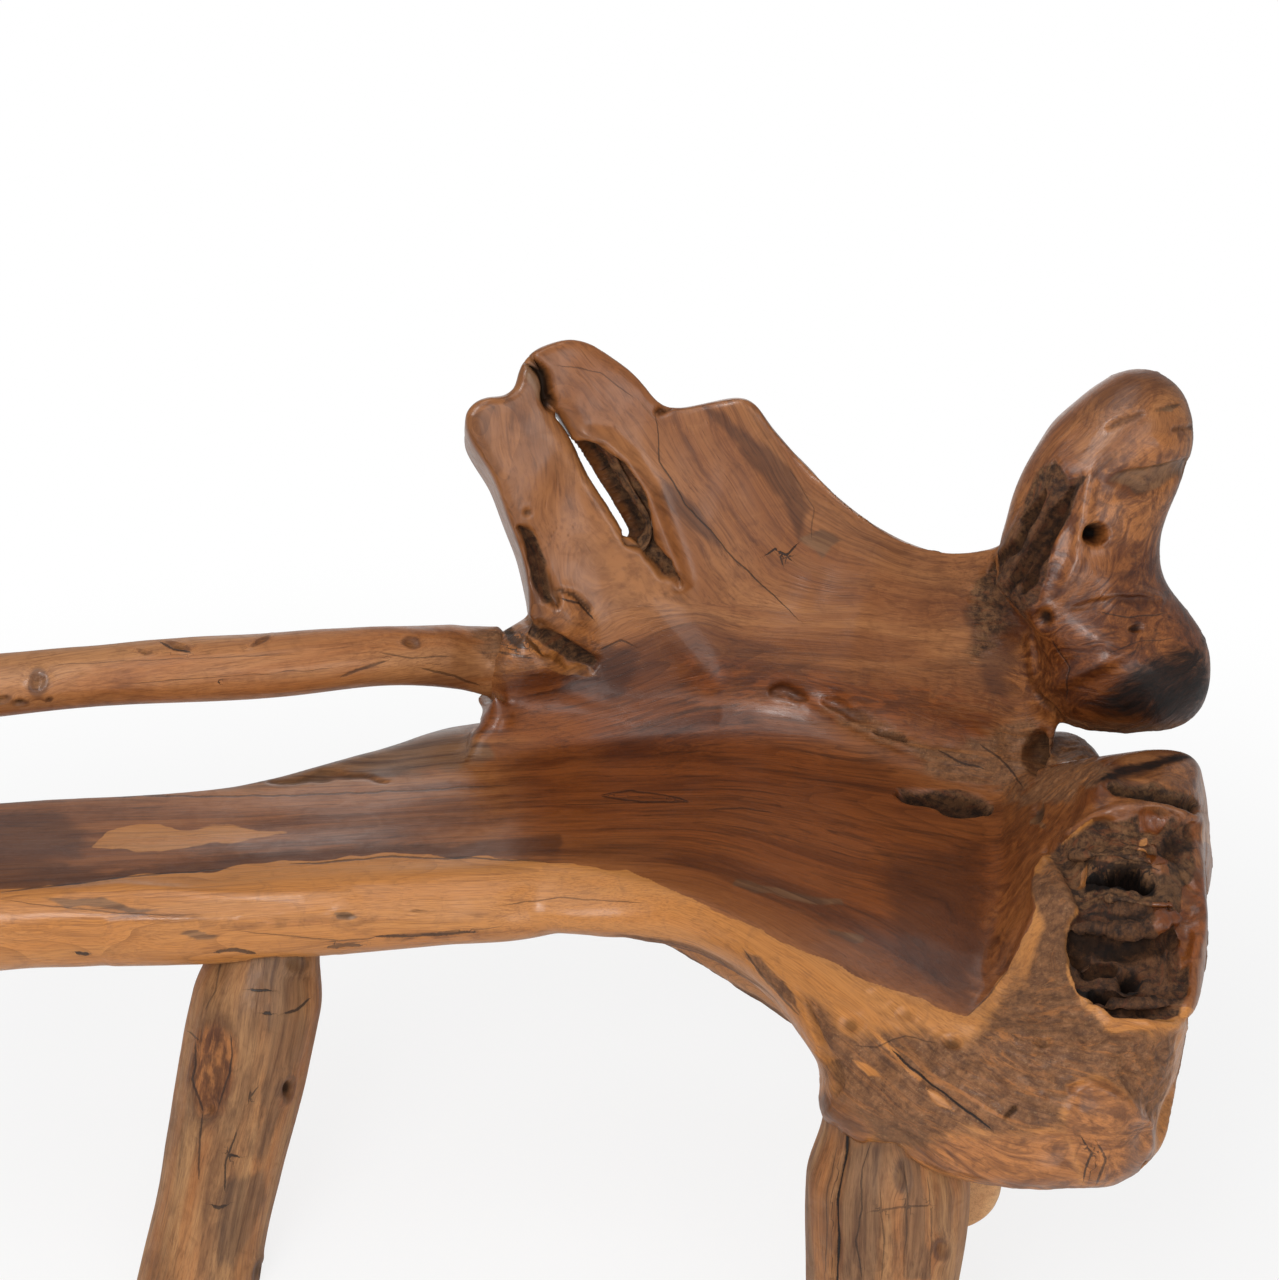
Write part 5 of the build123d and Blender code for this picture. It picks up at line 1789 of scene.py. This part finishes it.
# The floor: half its width, its two tones, and from where to where it fades to white for the camera, with
# the share of white at both
FLOOR_HALF = 12.0
FLOOR_TONES = ((0.92, 0.92, 0.92, 1), (0.97, 0.97, 0.97, 1))
FLOOR_FADE = (0.9, 2.0, 0.82, 1.0)
WHITE = (1.0, 1.0, 1.0, 1.0)


class BENCH_OT_set_stage(bpy.types.Operator):
    """Sets the pale floor, the soft lights and the camera"""
    bl_idname = "bench.set_stage"
    bl_label = "Set stage"

    def execute(self, context):
        settings = context.scene.bench_studio
        scene = context.scene
        scene.view_settings.view_transform = "Standard"
        self.add_camera(scene)
        self.add_floor(scene)
        self.add_sky(scene, settings.sky_strength)
        for name, (place, size, power, share) in LIGHTS.items():
            self.add_light(scene, name, place, size, share * getattr(settings, power))
        return {"FINISHED"}

    def add_light(self, scene, name, place, size, power):
        """A square light that is turned to the bench."""
        lamp = bpy.data.lights.new(name, "AREA")
        lamp.energy = power
        lamp.size = size
        holder = bpy.data.objects.new(name, lamp)
        holder.location = place
        holder.rotation_euler = (Vector(LIGHT_AIM) - Vector(place)).to_track_quat("-Z", "Y").to_euler()
        scene.collection.objects.link(holder)

    def add_camera(self, scene):
        """The photo's camera."""
        place, right, up, back = photo_axes()
        camera = bpy.data.cameras.new("photo camera")
        camera.sensor_width = CAMERA_SENSOR / MM
        camera.lens = CAMERA_SENSOR / MM * FOCAL_PIXELS / PHOTO_HEIGHT
        camera.clip_end = 40.0
        holder = bpy.data.objects.new("photo camera", camera)
        turn = Matrix([right, up, back]).transposed().to_4x4()
        holder.matrix_world = Matrix.Translation(Vector(place)) @ turn
        scene.collection.objects.link(holder)
        scene.camera = holder

    def add_floor(self, scene):
        """A wide pale floor, white to the camera's eye except for the bench's shadow."""
        mesh = bpy.data.meshes.new("floor")
        signs = [(-1, -1), (1, -1), (1, 1), (-1, 1)]
        corners = [(x * FLOOR_HALF, y * FLOOR_HALF, 0) for x, y in signs]
        mesh.from_pydata(corners, [], [(0, 1, 2, 3)])
        floor = bpy.data.objects.new("floor", mesh)
        scene.collection.objects.link(floor)
        mesh.materials.append(self.floor_paint())

    def floor_paint(self):
        """Pale paint that fades to plain white away from the bench, for the camera."""
        paint = Wood("pale floor")
        place = paint.place()
        paint.put("Base Color", paint.mix(paint.noise(place, 3.0, 3.0, 0.5), *FLOOR_TONES))
        paint.put("Roughness", 0.8)
        reach = paint.tree.nodes.new("ShaderNodeVectorMath")
        reach.operation = "LENGTH"
        paint.join(place, reach.inputs[0])
        share = paint.ramp(reach.outputs["Value"], *FLOOR_FADE)
        paths = paint.tree.nodes.new("ShaderNodeLightPath")
        white = paint.tree.nodes.new("ShaderNodeEmission")
        mixer = paint.tree.nodes.new("ShaderNodeMixShader")
        paint.join(paint.times(share, paths.outputs["Is Camera Ray"]), mixer.inputs["Fac"])
        paint.join(paint.shader.outputs["BSDF"], mixer.inputs[1])
        paint.join(white.outputs["Emission"], mixer.inputs[2])
        paint.join(mixer.outputs["Shader"], paint.output.inputs["Surface"])
        return paint.material

    def add_sky(self, scene, strength):
        """White for the camera, and soft light for the rest."""
        world = bpy.data.worlds.new("studio sky")
        world.use_nodes = True
        tree = world.node_tree
        tree.nodes.clear()
        output = tree.nodes.new("ShaderNodeOutputWorld")
        paths = tree.nodes.new("ShaderNodeLightPath")
        mixer = tree.nodes.new("ShaderNodeMixShader")
        tree.links.new(paths.outputs["Is Camera Ray"], mixer.inputs["Fac"])
        for slot, power in ((1, strength), (2, 1.0)):
            sky = tree.nodes.new("ShaderNodeBackground")
            sky.inputs["Color"].default_value = WHITE
            sky.inputs["Strength"].default_value = power
            tree.links.new(sky.outputs["Background"], mixer.inputs[slot])
        tree.links.new(mixer.outputs["Shader"], output.inputs["Surface"])
        scene.world = world


class BENCH_PT_panel(bpy.types.Panel):
    """The bench's tools, in the sidebar"""
    bl_label = "Teak root bench"
    bl_idname = "BENCH_PT_panel"
    bl_space_type = "VIEW_3D"
    bl_region_type = "UI"
    bl_category = "Bench"

    def draw(self, context):
        for settings in (context.scene.bench_root, context.scene.bench_logs, context.scene.bench_studio):
            box = self.layout.box()
            for name in settings.__annotations__:
                box.prop(settings, name)
        for operator in OPERATORS:
            self.layout.operator(operator.bl_idname)


GROUPS = {"bench_root": RootSettings, "bench_logs": LogSettings, "bench_studio": StudioSettings}
OPERATORS = (
    BENCH_OT_set_stage, BENCH_OT_carve_root, BENCH_OT_peel_rail, BENCH_OT_peel_legs, BENCH_OT_turn_bearer,
    BENCH_OT_finish_fasteners,
)


def register():
    for name, group in GROUPS.items():
        bpy.utils.register_class(group)
        setattr(bpy.types.Scene, name, PointerProperty(type=group))
    for operator in OPERATORS:
        bpy.utils.register_class(operator)
    bpy.utils.register_class(BENCH_PT_panel)


def unregister():
    bpy.utils.unregister_class(BENCH_PT_panel)
    for operator in reversed(OPERATORS):
        bpy.utils.unregister_class(operator)
    for name, group in GROUPS.items():
        delattr(bpy.types.Scene, name)
        bpy.utils.unregister_class(group)


def main():
    """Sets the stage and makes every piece."""
    register()
    bpy.ops.bench.set_stage()
    bpy.ops.bench.carve_root()
    bpy.ops.bench.peel_rail()
    bpy.ops.bench.peel_legs()
    bpy.ops.bench.turn_bearer()
    bpy.ops.bench.finish_fasteners()


if __name__ == "__main__":
    main()
